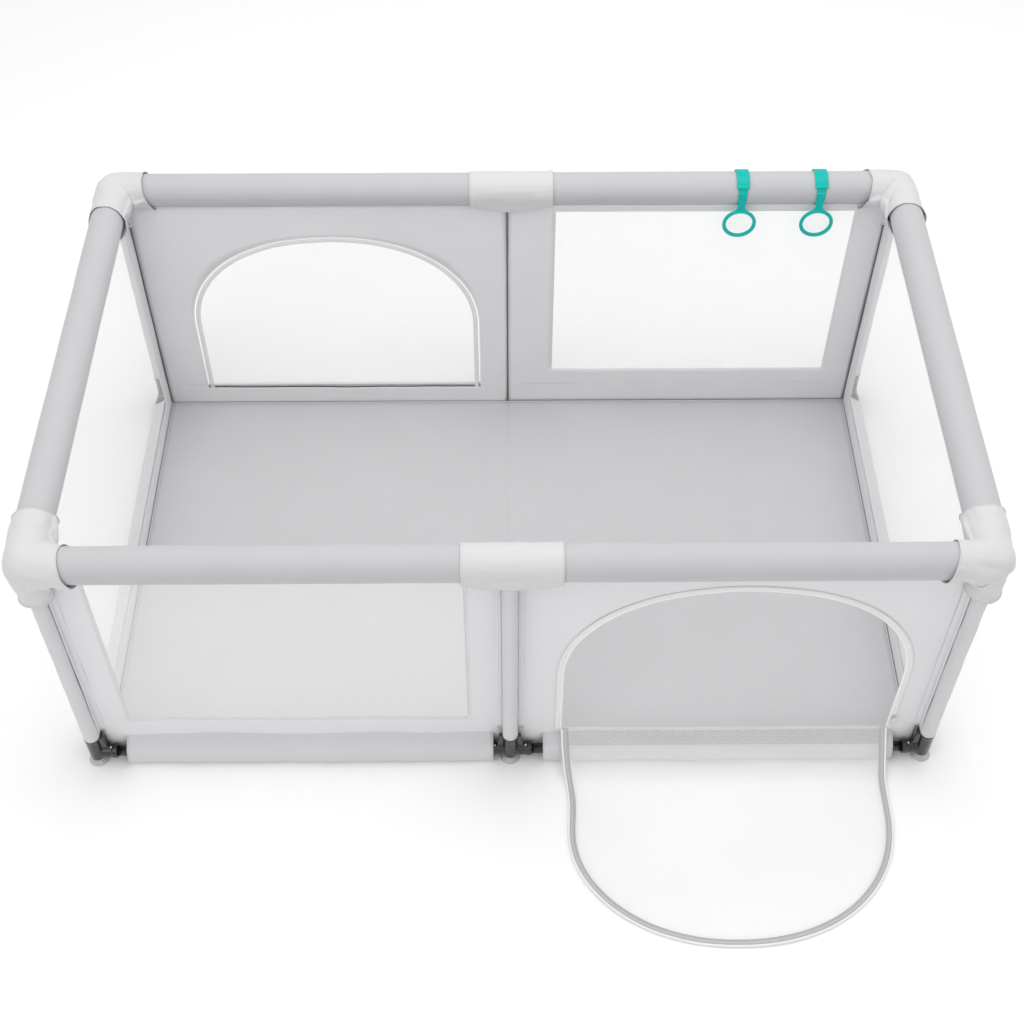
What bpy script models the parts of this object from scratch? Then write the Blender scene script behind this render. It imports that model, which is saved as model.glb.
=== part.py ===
"""A large rectangular playpen: a plug-together tube frame with padded top rails, sewn wall
panels, two zipped doors that fold down over their sills, a floor sheet, suction feet and two
pull rings on the back rail. Metres, +Z up, +X to the right, the front wall at -Y."""

import math

import bmesh
import bpy
from mathutils import Matrix, Vector

# The frame, between tube axes.
LENGTH = 1.730
DEPTH = 1.043
RAIL_Z = 0.665
BASE_Z = 0.030
HALF = LENGTH / 2
GAP = 0.0003  # running gap between neighbours
SIDES = 12  # facets round a tube, a socket or a foot: a multiple of 4, so that neighbours line up

# Tubes.
POST_R = 0.0125
BASE_R = 0.011
TUBE_WALL = 0.0012
TUBE_STOP = 0.018  # how deep in a connector a tube stops, from the connector's centre

# Connectors.
SOCKET_WALL = 0.0027
RAIL_REACH = 0.050
BASE_REACH = 0.045
POST_REACH = 0.055
COLLAR_LENGTH = 0.006
COLLAR_STEP = 0.0012
FIN_THICKNESS = 0.008
FIN_PROFILE = ((0.008, 0.006), (0.031, 0.010), (0.027, 0.030), (0.025, 0.054), (0.008, 0.054))
BORE_END = 0.080  # past the end of every socket, so that each bore is open

# Holes for the snap buttons, through each base socket and the tube in it.
BUTTON_HOLE_R = 0.0032
BUTTON_OFFSET = 0.032
BUTTON_HOLE_DEPTH = 0.020
BUTTON_SIDES = 6

# Padding and the cloth covers of the joints.
FOAM_R = 0.0345
COVER_R = 0.0385
COVER_CLOTH = 0.002
COVER_BULGE = 0.0015  # how far the round middle of a cover stands out past its legs
LEG_STEP = 0.0006  # the two level legs of a cover differ this much in radius
COVER_SIDES = 12
COVER_OVERLAP = 0.004  # how far each leg runs back past the cover's middle
COVER_OPENING = 0.020  # how far the hollow runs on past a leg's end, to open it
COVER_ROOM = 0.002  # between a cover and the wall's notch round it
CORNER_LEG_LONG = 0.080
CORNER_LEG_SHORT = 0.110
CORNER_LEG_DOWN = 0.105
CORNER_DOWN_R = 0.034
CENTRE_HALF = 0.090
CENTRE_DOWN = 0.080
CENTRE_DOWN_R = 0.024

# Walls: flat cloth just inside the posts, with sleeves round the posts and loose loops of
# cloth round the base tubes. The loops stop short of the connectors.
PANEL_OUT = 0.0165  # outer face, measured inwards from the posts' axes
PANEL_CLOTH = 0.0025
PANEL_MID = PANEL_OUT + PANEL_CLOTH / 2
PANEL_IN = PANEL_OUT + PANEL_CLOTH
PANEL_TOP = RAIL_Z - 0.036
PANEL_LOW = 0.0035
SLEEVE_R = 0.0155
SLEEVE_WEB = 0.006
SLEEVE_LOW = 0.088
SLEEVE_TOP = RAIL_Z - POST_REACH - 0.002
WEB_BITE = 0.0015  # how far the web is sunk in the sleeve
WEB_EDGE = 0.001  # how far the web is sunk in the wall, and stops short of the sleeve's ends
CORNER_CUTOUT = 0.070
CENTRE_CUTOUT = (0.047, 0.069)  # to the left and right of a centre post, seen from outside
FOOT_NOTCH = (0.016, 0.010)
HEM_HALF = 0.0175
HEM_LOW = 0.006
HEM_HIGH = 0.054
HEM_CLOTH = 0.002
HEM_ARC_STEPS = 4

# Doorways, seen from outside: left edge and right edge from the wall's left corner post, sill,
# crown and where the sides begin to curve.
FRONT_ARCH = (HALF + 0.105, HALF + 0.782, 0.080, 0.558, 0.270)
BACK_ARCH = (HALF + 0.068, HALF + 0.745, 0.058, 0.542, 0.270)
ARCH_POWER = 2.15
ARCH_STEPS = 9
DOORWAY_CUT = 0.050  # depth of the cut that opens a doorway
DOOR_CLOTH = 0.002
DOOR_GAP = 0.0015
DOOR_HINGE_OUT = 0.003  # the sill hinge stands this far outside the panel's middle
APRON = 0.108  # height of the strip that slopes from the sill to the ground on the open front door
FOLD_GAP = 0.00125
LYING_Z = 0.002

# Zip sliders and their pull tabs.
SLIDER = (0.009, 0.005, 0.013)
SLIDER_ABOVE_SILL = 0.035
ZIP_OUT = 0.007  # the zip's middle, outside the doorway's edge
EYE = 0.0026  # width and depth of the eye that the pull's bar crosses
EYE_CUT = 0.010  # how far in front of the slider the eye's cut begins
BAR_R = 0.0005
BAR_BELOW_TOP = 0.004
PULL_WIDTH = 0.006
PULL_LENGTH = 0.028
PULL_THICKNESS = 0.0015

# Floor sheet and feet.
FLOOR_MARGIN = 0.022
FLOOR_CLOTH = 0.003
FOOT_R = 0.021
FOOT_STEM_R = 0.009
FOOT_SEAT = BASE_Z - POST_R - SOCKET_WALL - 2 * GAP  # under the connectors
FOOT_PROFILE = (
    (0.0, 0.006),
    (0.010, 0.004),
    (FOOT_R - 0.002, 0.0),
    (FOOT_R, 0.0012),
    (0.014, 0.008),
    (FOOT_STEM_R, FOOT_SEAT - 0.001),
    (FOOT_STEM_R, FOOT_SEAT),
    (0.0, FOOT_SEAT),
)

# Pull rings, and where they hang along the back rail.
RING_X = (0.5165, 0.688)
RING_R = 0.034
RING_WIRE = 0.0036
RING_BAND = (0.0352, 0.0378)
RING_HEAD_OUT = 0.0392
RING_HEAD_WIDTH = 0.028
RING_BAND_WIDTH = 0.020
RING_DROP = 0.070
NECK_FLARE = 0.017
NECK_TAPER = 0.014  # height over which the neck widens into the ring
NECK_TOP = 0.004
NECK_THICKNESS = 0.003
NECK_OUT = 0.0004  # how far the neck stands out of the band
NECK_EDGE = 0.001
RING_HEAD_ARC = (48, 150)  # degrees over the top of the rail, from the inner side
RING_HEAD_STEPS = 6
RING_BAND_SIDES = 18
RING_GRIP_SIDES = (20, 6)  # round the ring, and round its wire
RING_GRIP_SWELL = 0.35  # how much thicker the wire is at the foot of the ring

X, Y, Z = Vector((1, 0, 0)), Vector((0, 1, 0)), Vector((0, 0, 1))


def material(name, colour, roughness, metallic=0.0):
    made = bpy.data.materials.new(name)
    made.use_nodes = True
    shader = made.node_tree.nodes["Principled BSDF"]
    shader.inputs["Base Color"].default_value = (*colour, 1)
    shader.inputs["Roughness"].default_value = roughness
    shader.inputs["Metallic"].default_value = metallic
    return made


def place(bm, name, finish, matrix=None, pivot=None):
    """Makes the object for one sub-part, with its origin at pivot if one is given."""
    matrix = matrix or Matrix.Identity(4)
    if pivot is not None:
        bmesh.ops.translate(bm, verts=bm.verts, vec=-pivot)
        matrix = matrix @ Matrix.Translation(pivot)
    mesh = bpy.data.meshes.new(name)
    bm.normal_update()
    bm.to_mesh(mesh)
    bm.free()
    made = bpy.data.objects.new(name, mesh)
    bpy.context.scene.collection.objects.link(made)
    made.data.materials.append(finish)
    made.matrix_world = matrix
    return made


def copy_of(source, name, matrix):
    made = bpy.data.objects.new(name, source.data)
    bpy.context.scene.collection.objects.link(made)
    made.matrix_world = matrix
    return made


def rod(start, end, radius, sides=SIDES):
    """A closed cylinder from start to end."""
    start, end = Vector(start), Vector(end)
    bm = bmesh.new()
    turn = (end - start).to_track_quat("Z", "Y").to_matrix().to_4x4()
    bmesh.ops.create_cone(
        bm,
        cap_ends=True,
        segments=sides,
        radius1=radius,
        radius2=radius,
        depth=(end - start).length,
        matrix=Matrix.Translation((start + end) / 2) @ turn,
    )
    return bm


def extrude_loops(outer, inner, along):
    """A closed solid swept along a vector from an outline, with a hole if inner is given."""
    bm = bmesh.new()
    along = Vector(along)
    near = [bm.verts.new(p) for p in outer]
    far = [bm.verts.new(Vector(p) + along) for p in outer]
    count = len(outer)
    for i in range(count):
        j = (i + 1) % count
        bm.faces.new((near[i], near[j], far[j], far[i]))
    if inner:
        near_in = [bm.verts.new(p) for p in inner]
        far_in = [bm.verts.new(Vector(p) + along) for p in inner]
        for i in range(count):
            j = (i + 1) % count
            bm.faces.new((near_in[j], near_in[i], far_in[i], far_in[j]))
            bm.faces.new((near[j], near[i], near_in[i], near_in[j]))
            bm.faces.new((far[i], far[j], far_in[j], far_in[i]))
    else:
        bm.faces.new(list(reversed(near)))
        bm.faces.new(far)
    bmesh.ops.recalc_face_normals(bm, faces=bm.faces)
    return bm


def circle(radius, sides, centre, across, up):
    turn = 2 * math.pi / sides
    return [
        centre + across * radius * math.cos(i * turn) + up * radius * math.sin(i * turn)
        for i in range(sides)
    ]


def pipe(start, end, outer, inner, sides=SIDES):
    """A round pipe between two points on a line along X, Y or Z."""
    start, along = Vector(start), Vector(end) - Vector(start)
    across = Y if abs(along.x) > abs(along.y) + abs(along.z) else X
    up = along.normalized().cross(across)
    rings = [circle(r, sides, start, across, up) for r in (outer, inner)]
    return extrude_loops(*rings, along)


def box(low, high):
    bm = bmesh.new()
    low, high = Vector(low), Vector(high)
    size = high - low
    bmesh.ops.create_cube(
        bm,
        size=1,
        matrix=Matrix.Translation((low + high) / 2) @ Matrix.Diagonal((*size, 1)),
    )
    return bm


def combine(base, others, operation):
    """Joins the other shapes to base, or cuts them from it."""
    tool = material("tool", (0.5, 0.5, 0.5), 0.5)
    body = place(base, "combine_body", tool)
    for other in others:
        helper = place(other, "combine_tool", tool)
        boolean = body.modifiers.new("combine", "BOOLEAN")
        boolean.operation = operation
        boolean.solver = "EXACT"
        boolean.object = helper
        graph = bpy.context.evaluated_depsgraph_get()
        result = bpy.data.meshes.new_from_object(body.evaluated_get(graph))
        body.modifiers.clear()
        body.data = result
        bpy.data.objects.remove(helper)
    made = bmesh.new()
    made.from_mesh(body.data)
    bpy.data.objects.remove(body)
    bpy.data.materials.remove(tool)
    bmesh.ops.remove_doubles(made, verts=made.verts, dist=1e-6)
    return made


# ---------------------------------------------------------------- frame


def fin(direction):
    """The web that braces a base connector's post socket."""
    side = Z.cross(direction)
    outline = [direction * u + Z * z - side * FIN_THICKNESS / 2 for u, z in FIN_PROFILE]
    return extrude_loops(outline, None, side * FIN_THICKNESS)


def connector(arms, tube_r, reach, post_way, finned, holes):
    """A moulded connector: level sockets along arms, and a post socket up or down."""
    wall_r = tube_r + SOCKET_WALL
    post_wall = POST_R + GAP + SOCKET_WALL
    body = rod(Z * -post_way * post_wall, Z * post_way * POST_REACH, post_wall)
    joined, cut = [], [rod(Z * post_way * TUBE_STOP, Z * post_way * BORE_END, POST_R + GAP)]
    for arm in arms:
        joined.append(rod(Vector(), arm * (reach - COLLAR_LENGTH), wall_r))
        collar = rod(arm * (reach - 2 * COLLAR_LENGTH), arm * reach, wall_r + COLLAR_STEP)
        joined.append(collar)
        if finned:
            joined.append(fin(arm))
        cut.append(rod(arm * TUBE_STOP, arm * BORE_END, tube_r + GAP))
        if holes:
            spot = arm * BUTTON_OFFSET
            cut.append(rod(spot, spot + Z * BUTTON_HOLE_DEPTH, BUTTON_HOLE_R, BUTTON_SIDES))
    return combine(combine(body, joined, "UNION"), cut, "DIFFERENCE")


def make_connectors(plastic):
    corners = {
        "front_left": Matrix.Translation((-HALF, -DEPTH / 2, 0)),
        "front_right": Matrix.Translation((HALF, -DEPTH / 2, 0)) @ Matrix.Rotation(math.pi / 2, 4, "Z"),
        "back_right": Matrix.Translation((HALF, DEPTH / 2, 0)) @ Matrix.Rotation(math.pi, 4, "Z"),
        "back_left": Matrix.Translation((-HALF, DEPTH / 2, 0)) @ Matrix.Rotation(-math.pi / 2, 4, "Z"),
    }
    kinds = {
        "base": (BASE_Z, (BASE_R, BASE_REACH, 1, True, True)),
        "rail": (RAIL_Z, (POST_R, RAIL_REACH, -1, False, False)),
    }
    for kind, (height, shape) in kinds.items():
        lift = Matrix.Translation((0, 0, height))
        first = place(connector((X, Y), *shape), "pattern", plastic)
        for spot, where in corners.items():
            copy_of(first, f"{kind}_corner_{spot}", lift @ where)
        tee = place(connector((X, -X), *shape), "pattern", plastic)
        for side, way in (("front", -1), ("back", 1)):
            where = Matrix.Translation((0, way * DEPTH / 2, height))
            copy_of(tee, f"{kind}_tee_{side}", where)
        bpy.data.objects.remove(first)
        bpy.data.objects.remove(tee)


def level_runs():
    """Name, start and end of each run between two connectors, at ground level."""
    runs = []
    for side, way in (("front", -1), ("back", 1)):
        y = way * DEPTH / 2
        runs.append((f"{side}_left", Vector((-HALF, y, 0)), Vector((0, y, 0))))
        runs.append((f"{side}_right", Vector((0, y, 0)), Vector((HALF, y, 0))))
    for side, way in (("left", -1), ("right", 1)):
        x = way * HALF
        runs.append((side, Vector((x, -DEPTH / 2, 0)), Vector((x, DEPTH / 2, 0))))
    return runs


def make_tubes(steel, foam, black):
    tube_end = TUBE_STOP + 2 * GAP
    foam_end = RAIL_REACH + 2 * GAP
    for name, start, end in level_runs():
        way = (end - start).normalized()
        rail = Z * RAIL_Z
        rail_tube = pipe(
            start + rail + way * tube_end, end + rail - way * tube_end, POST_R, POST_R - TUBE_WALL
        )
        place(rail_tube, f"rail_tube_{name}", steel)
        pad = pipe(start + rail + way * foam_end, end + rail - way * foam_end, FOAM_R, POST_R + GAP)
        place(pad, f"rail_foam_{name}", foam)
        base = Z * BASE_Z
        low = start + base + way * tube_end
        high = end + base - way * tube_end
        holes = [
            rod(spot, spot + Z * BUTTON_HOLE_DEPTH, BUTTON_HOLE_R, BUTTON_SIDES)
            for spot in (
                start + base + way * BUTTON_OFFSET,
                end + base - way * BUTTON_OFFSET,
            )
        ]
        drilled = combine(pipe(low, high, BASE_R, BASE_R - TUBE_WALL), holes, "DIFFERENCE")
        place(drilled, f"base_tube_{name}", black)
    for name, x, y in post_spots():
        foot = Vector((x, y, BASE_Z + tube_end))
        top = Vector((x, y, RAIL_Z - tube_end))
        place(pipe(foot, top, POST_R, POST_R - TUBE_WALL), f"post_{name}", steel)


def post_spots():
    spots = []
    for side, way in (("front", -1), ("back", 1)):
        for where, x in (("left", -HALF), ("centre", 0), ("right", HALF)):
            spots.append((f"{side}_{where}", x, way * DEPTH / 2))
    return spots


def make_feet(rubber):
    """The suction cups under the base connectors, each turned about its own axis."""
    cup = bmesh.new()
    line = [cup.verts.new((r, 0, z)) for r, z in FOOT_PROFILE]
    edges = [cup.edges.new(pair) for pair in zip(line, line[1:])]
    bmesh.ops.spin(
        cup,
        geom=line + edges,
        cent=(0, 0, 0),
        axis=(0, 0, 1),
        angle=2 * math.pi,
        steps=SIDES,
        use_merge=True,
    )
    bmesh.ops.remove_doubles(cup, verts=cup.verts, dist=1e-5)
    bmesh.ops.recalc_face_normals(cup, faces=cup.faces)
    first = place(cup, "pattern", rubber)
    for name, x, y in post_spots():
        copy_of(first, f"suction_foot_{name}", Matrix.Translation((x, y, 0)))
    bpy.data.objects.remove(first)


# ---------------------------------------------------------------- cloth


def cover(legs):
    """A hollow cloth cover: one round leg for each (direction, length, radius)."""
    solids = []
    for shrink, extra in ((0, 0), (COVER_CLOTH, COVER_OPENING)):
        parts = [
            rod(way * -COVER_OVERLAP, way * (length + extra), radius - shrink, COVER_SIDES)
            for way, length, radius in legs
        ]
        ball = bmesh.new()
        bmesh.ops.create_icosphere(ball, subdivisions=2, radius=COVER_R + COVER_BULGE - shrink)
        solids.append(combine(ball, parts, "UNION"))
    return combine(solids[0], [solids[1]], "DIFFERENCE")


def make_corner_covers(cloth):
    for side, y_way in (("front", -1), ("back", 1)):
        for hand, x_way in (("left", -1), ("right", 1)):
            legs = (
                (X * -x_way, CORNER_LEG_LONG, COVER_R),
                (Y * -y_way, CORNER_LEG_SHORT, COVER_R - LEG_STEP),
                (-Z, CORNER_LEG_DOWN, CORNER_DOWN_R),
            )
            spot = Matrix.Translation((x_way * HALF, y_way * DEPTH / 2, RAIL_Z))
            place(cover(legs), f"corner_cover_{side}_{hand}", cloth, spot)


def centre_cover():
    """The cover over a centre tee, which is sewn to its wall."""
    legs = (
        (X, CENTRE_HALF, COVER_R),
        (-X, CENTRE_HALF, COVER_R - LEG_STEP),
        (-Z, CENTRE_DOWN, CENTRE_DOWN_R),
    )
    made = cover(legs)
    bmesh.ops.translate(made, verts=made.verts, vec=(HALF, 0, RAIL_Z))
    return made


def arch_outline(shape, inset=0.0):
    """Points (u, z) round a doorway, from its right foot over the crown to its left foot."""
    left, right, sill, crown, spring = shape
    left, right, sill, crown = left + inset, right - inset, sill + inset, crown - inset
    middle, half, rise = (left + right) / 2, (right - left) / 2, crown - spring
    points = [(right, sill)]
    for i in range(2 * ARCH_STEPS + 1):
        angle = math.pi * i / (2 * ARCH_STEPS)
        cos, sin = math.cos(angle), math.sin(angle)
        u = middle + half * math.copysign(abs(cos) ** (2 / ARCH_POWER), cos)
        points.append((u, spring + rise * sin ** (2 / ARCH_POWER)))
    points.append((left, sill))
    return points


def hem_outline(half, low, high):
    """Points (y, z) round the loose loop of cloth that holds a base tube."""
    points = []
    for centre, start in ((high - half, 0), (low + half, math.pi)):
        for i in range(HEM_ARC_STEPS + 1):
            angle = start + math.pi * i / HEM_ARC_STEPS
            points.append((half * math.cos(angle), centre + half * math.sin(angle)))
    return points


def plate_outline(span, has_centre):
    """Points (u, z) round a wall's flat cloth. A long wall has a centre post and fits between
    the short walls, which run on to the corner posts."""
    notch = CORNER_DOWN_R + COVER_ROOM
    notch_z = RAIL_Z - CORNER_LEG_DOWN - 1.5 * COVER_ROOM
    if has_centre:
        foot, rise = FOOT_NOTCH
        low = [
            (PANEL_IN + GAP, PANEL_LOW),
            (HALF - foot, PANEL_LOW),
            (HALF - foot, rise),
            (HALF + foot, rise),
            (HALF + foot, PANEL_LOW),
            (span - PANEL_IN - GAP, PANEL_LOW),
        ]
    else:
        low = [
            (0, SLEEVE_LOW),
            (PANEL_OUT, SLEEVE_LOW),
            (PANEL_OUT, PANEL_LOW),
            (span - PANEL_OUT, PANEL_LOW),
            (span - PANEL_OUT, SLEEVE_LOW),
            (span, SLEEVE_LOW),
        ]
    high = [
        (low[-1][0], notch_z),
        (span - notch, notch_z),
        (span - notch, PANEL_TOP),
        (notch, PANEL_TOP),
        (notch, notch_z),
        (low[0][0], notch_z),
    ]
    return low + high


def wall(span, posts, loops, arch, extra):
    """A wall in its own frame: u along X from the left corner post, outside at -Y."""
    outline = plate_outline(span, bool(extra))
    plate = extrude_loops([Vector((u, PANEL_OUT, z)) for u, z in outline], None, Y * PANEL_CLOTH)
    joined = list(extra)
    for start, end in loops:
        rings = [
            [
                Vector((start, y, z))
                for y, z in hem_outline(HEM_HALF - inset, HEM_LOW + inset, HEM_HIGH - inset)
            ]
            for inset in (0, HEM_CLOTH)
        ]
        joined.append(extrude_loops(*rings, X * (end - start)))
    for u in posts:
        joined.append(pipe((u, 0, SLEEVE_LOW), (u, 0, SLEEVE_TOP), SLEEVE_R, POST_R + GAP))
        joined.append(
            box(
                (u - SLEEVE_WEB, SLEEVE_R - WEB_BITE, SLEEVE_LOW + WEB_EDGE),
                (u + SLEEVE_WEB, PANEL_OUT + WEB_EDGE, SLEEVE_TOP - WEB_EDGE),
            )
        )
    panel = combine(plate, joined, "UNION")
    if arch:
        hole = [Vector((u, 0, z)) for u, z in arch_outline(arch)]
        panel = combine(panel, [extrude_loops(hole, None, Y * DOORWAY_CUT)], "DIFFERENCE")
    return panel


def wall_places():
    """Where each wall's left corner post stands, and how the wall is turned."""
    return {
        "front": Matrix.Translation((-HALF, -DEPTH / 2, 0)),
        "back": Matrix.Translation((HALF, DEPTH / 2, 0)) @ Matrix.Rotation(math.pi, 4, "Z"),
        "left": Matrix.Translation((-HALF, DEPTH / 2, 0)) @ Matrix.Rotation(-math.pi / 2, 4, "Z"),
        "right": Matrix.Translation((HALF, -DEPTH / 2, 0)) @ Matrix.Rotation(math.pi / 2, 4, "Z"),
    }


def make_walls(cloth):
    before, after = CENTRE_CUTOUT
    long_loops = ((CORNER_CUTOUT, HALF - before), (HALF + after, LENGTH - CORNER_CUTOUT))
    short_loops = ((CORNER_CUTOUT, DEPTH - CORNER_CUTOUT),)
    places = wall_places()
    for name, arch in (("front", FRONT_ARCH), ("back", BACK_ARCH)):
        made = wall(LENGTH, (HALF,), long_loops, arch, (centre_cover(),))
        place(made, f"wall_{name}", cloth, places[name])
    for name in ("left", "right"):
        made = wall(DEPTH, (0, DEPTH), short_loops, None, ())
        place(made, f"wall_{name}", cloth, places[name])


def slab(points, thickness):
    """A flat sheet standing in its wall's middle plane, u along X and z up."""
    near = PANEL_MID - thickness / 2
    return extrude_loops([Vector((u, near, z)) for u, z in points], None, Y * thickness)


def turn_about(point, degrees):
    """Turns outward about a line along X through point: up goes towards -Y."""
    return (
        Matrix.Translation(point)
        @ Matrix.Rotation(math.radians(degrees), 4, "X")
        @ Matrix.Translation(-Vector(point))
    )


def front_door_fold():
    """The sill hinge, the fold and the apron's angle when the flap lies on the ground."""
    sill = FRONT_ARCH[2]
    hinge = Vector((0, PANEL_MID - DOOR_HINGE_OUT, sill))
    fold = Vector((0, PANEL_MID, sill + APRON))
    arm = math.hypot(DOOR_HINGE_OUT, APRON)
    lean = math.atan2(DOOR_HINGE_OUT, APRON)
    angle = lean + math.acos(-(sill - LYING_Z) / arm)
    return hinge, fold, math.degrees(angle)


def make_doors(cloth):
    places = wall_places()
    hinge, fold, angle = front_door_fold()
    swing = places["front"] @ turn_about(hinge, angle)
    edge = arch_outline(FRONT_ARCH, DOOR_GAP)
    right, left = edge[0][0], edge[-1][0]
    low = FRONT_ARCH[2] + DOOR_GAP
    split = FRONT_ARCH[2] + APRON
    apron = [(right, low), (right, split - FOLD_GAP), (left, split - FOLD_GAP), (left, low)]
    place(slab(apron, DOOR_CLOTH), "front_door_apron", cloth, swing, hinge)
    flap = [(right, split + FOLD_GAP), *edge[1:-1], (left, split + FOLD_GAP)]
    flat = swing @ turn_about(fold, 90 - angle)
    place(slab(flap, DOOR_CLOTH), "front_door_flap", cloth, flat, fold)
    closed = slab(arch_outline(BACK_ARCH, DOOR_GAP), DOOR_CLOTH)
    sill = Vector((0, PANEL_MID - DOOR_HINGE_OUT, BACK_ARCH[2]))
    place(closed, "back_door_flap", cloth, places["back"], sill)


def make_zips(metal):
    """A slider at the foot of each door's zip, with the tab that pulls it."""
    width, depth, height = SLIDER
    for name, wall_name, arch, u in (
        ("front_door", "front", FRONT_ARCH, FRONT_ARCH[1] + ZIP_OUT),
        ("back_door", "back", BACK_ARCH, BACK_ARCH[0] - ZIP_OUT),
    ):
        face = PANEL_OUT - GAP
        front = face - depth
        low = arch[2] + SLIDER_ABOVE_SILL
        bar = low + height - BAR_BELOW_TOP
        body = box((u - width / 2, front, low), (u + width / 2, face, low + height))
        eye = box((u - EYE / 2, front - EYE_CUT, bar - EYE), (u + EYE / 2, front + EYE, bar + EYE / 2))
        bridge = box((u - width / 4, front, bar - BAR_R), (u + width / 4, front + 2 * BAR_R, bar + BAR_R))
        slider = combine(combine(body, [eye], "DIFFERENCE"), [bridge], "UNION")
        where = wall_places()[wall_name]
        place(slider, f"{name}_zip_slider", metal, where, Vector((u, front, bar)))
        near = front - GAP
        tab = box(
            (u - PULL_WIDTH / 2, near - PULL_THICKNESS, bar - PULL_LENGTH),
            (u + PULL_WIDTH / 2, near, bar + BAR_R),
        )
        pivot = Vector((u, near - PULL_THICKNESS / 2, bar))
        place(tab, f"{name}_zip_pull", metal, where, pivot)


def make_floor(cloth):
    half_x, half_y = HALF - FLOOR_MARGIN, DEPTH / 2 - FLOOR_MARGIN
    sheet = box((-half_x, -half_y, 0), (half_x, half_y, FLOOR_CLOTH))
    place(sheet, "floor_sheet", cloth)


def sector(inner, outer, width, first, last, steps):
    """Part of a band round the rail: angles in degrees from -Y, rising over the top."""
    bm = bmesh.new()
    rows = []
    for i in range(steps + 1):
        angle = math.radians(first + (last - first) * i / steps)
        way = Vector((0, -math.cos(angle), math.sin(angle)))
        section = ((inner, -width / 2), (outer, -width / 2), (outer, width / 2), (inner, width / 2))
        rows.append([bm.verts.new(way * r + X * x) for r, x in section])
    for row, after in zip(rows, rows[1:]):
        for i in range(4):
            j = (i + 1) % 4
            bm.faces.new((row[i], row[j], after[j], after[i]))
    bm.faces.new(rows[0])
    bm.faces.new(list(reversed(rows[-1])))
    bmesh.ops.recalc_face_normals(bm, faces=bm.faces)
    return bm


def pull_ring():
    """A one-piece soft moulding, about the rail's axis: noose, neck and grip ring."""
    inner, outer = RING_BAND
    band_half = RING_BAND_WIDTH / 2
    band = pipe(X * -band_half, X * band_half, outer, inner, RING_BAND_SIDES)
    head = sector(inner, RING_HEAD_OUT, RING_HEAD_WIDTH, *RING_HEAD_ARC, RING_HEAD_STEPS)
    neck_half = band_half - NECK_EDGE
    foot = RING_R - RING_DROP - NECK_EDGE
    outline = [
        (-neck_half, NECK_TOP),
        (-neck_half, foot + NECK_TAPER),
        (-NECK_FLARE, foot),
        (NECK_FLARE, foot),
        (neck_half, foot + NECK_TAPER),
        (neck_half, NECK_TOP),
    ]
    face = [Vector((x, -outer - NECK_OUT, z)) for x, z in outline]
    neck = extrude_loops(face, None, Y * NECK_THICKNESS)
    grip = bmesh.new()
    turns, section = RING_GRIP_SIDES
    middle = Vector((0, -outer, -RING_DROP))
    rows = []
    for i in range(turns):
        around = 2 * math.pi * i / turns
        wire = RING_WIRE * (1 + RING_GRIP_SWELL * max(0.0, -math.sin(around)))
        way = Vector((math.cos(around), 0, math.sin(around)))
        loop = circle(wire, section, middle + way * RING_R, way, Y)
        rows.append([grip.verts.new(p) for p in loop])
    for i in range(turns):
        row, after = rows[i], rows[(i + 1) % turns]
        for k in range(section):
            m = (k + 1) % section
            grip.faces.new((row[k], row[m], after[m], after[k]))
    bmesh.ops.recalc_face_normals(grip, faces=grip.faces)
    return combine(band, [head, neck, grip], "UNION")


def make_rings(silicone):
    first = place(pull_ring(), "pattern", silicone)
    for name, x in zip(("pull_ring_left", "pull_ring_right"), RING_X):
        copy_of(first, name, Matrix.Translation((x, DEPTH / 2, RAIL_Z)))
    bpy.data.objects.remove(first)


def main():
    for old in list(bpy.data.objects):
        bpy.data.objects.remove(old)
    black = material("black_plastic", (0.02, 0.02, 0.022), 0.35)
    steel = material("steel", (0.62, 0.63, 0.65), 0.35, 1.0)
    black_steel = material("black_steel", (0.02, 0.02, 0.02), 0.3, 0.4)
    zip_metal = material("zip_metal", (0.75, 0.75, 0.76), 0.2, 1.0)
    foam = material("rail_padding", (0.62, 0.62, 0.63), 0.8)
    cloth = material("wall_cloth", (0.66, 0.66, 0.67), 0.85)
    floor = material("floor_cloth", (0.5, 0.5, 0.51), 0.85)
    rubber = material("clear_rubber", (0.82, 0.83, 0.86), 0.3)
    silicone = material("teal_silicone", (0.0, 0.48, 0.44), 0.35)
    make_connectors(black)
    make_tubes(steel, foam, black_steel)
    make_feet(rubber)
    make_corner_covers(cloth)
    make_walls(cloth)
    make_doors(cloth)
    make_zips(zip_metal)
    make_floor(floor)
    make_rings(silicone)


main()
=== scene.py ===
"""The looks of a rectangular playpen: cloth, netting, padding, zips, mouldings and the studio."""

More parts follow.
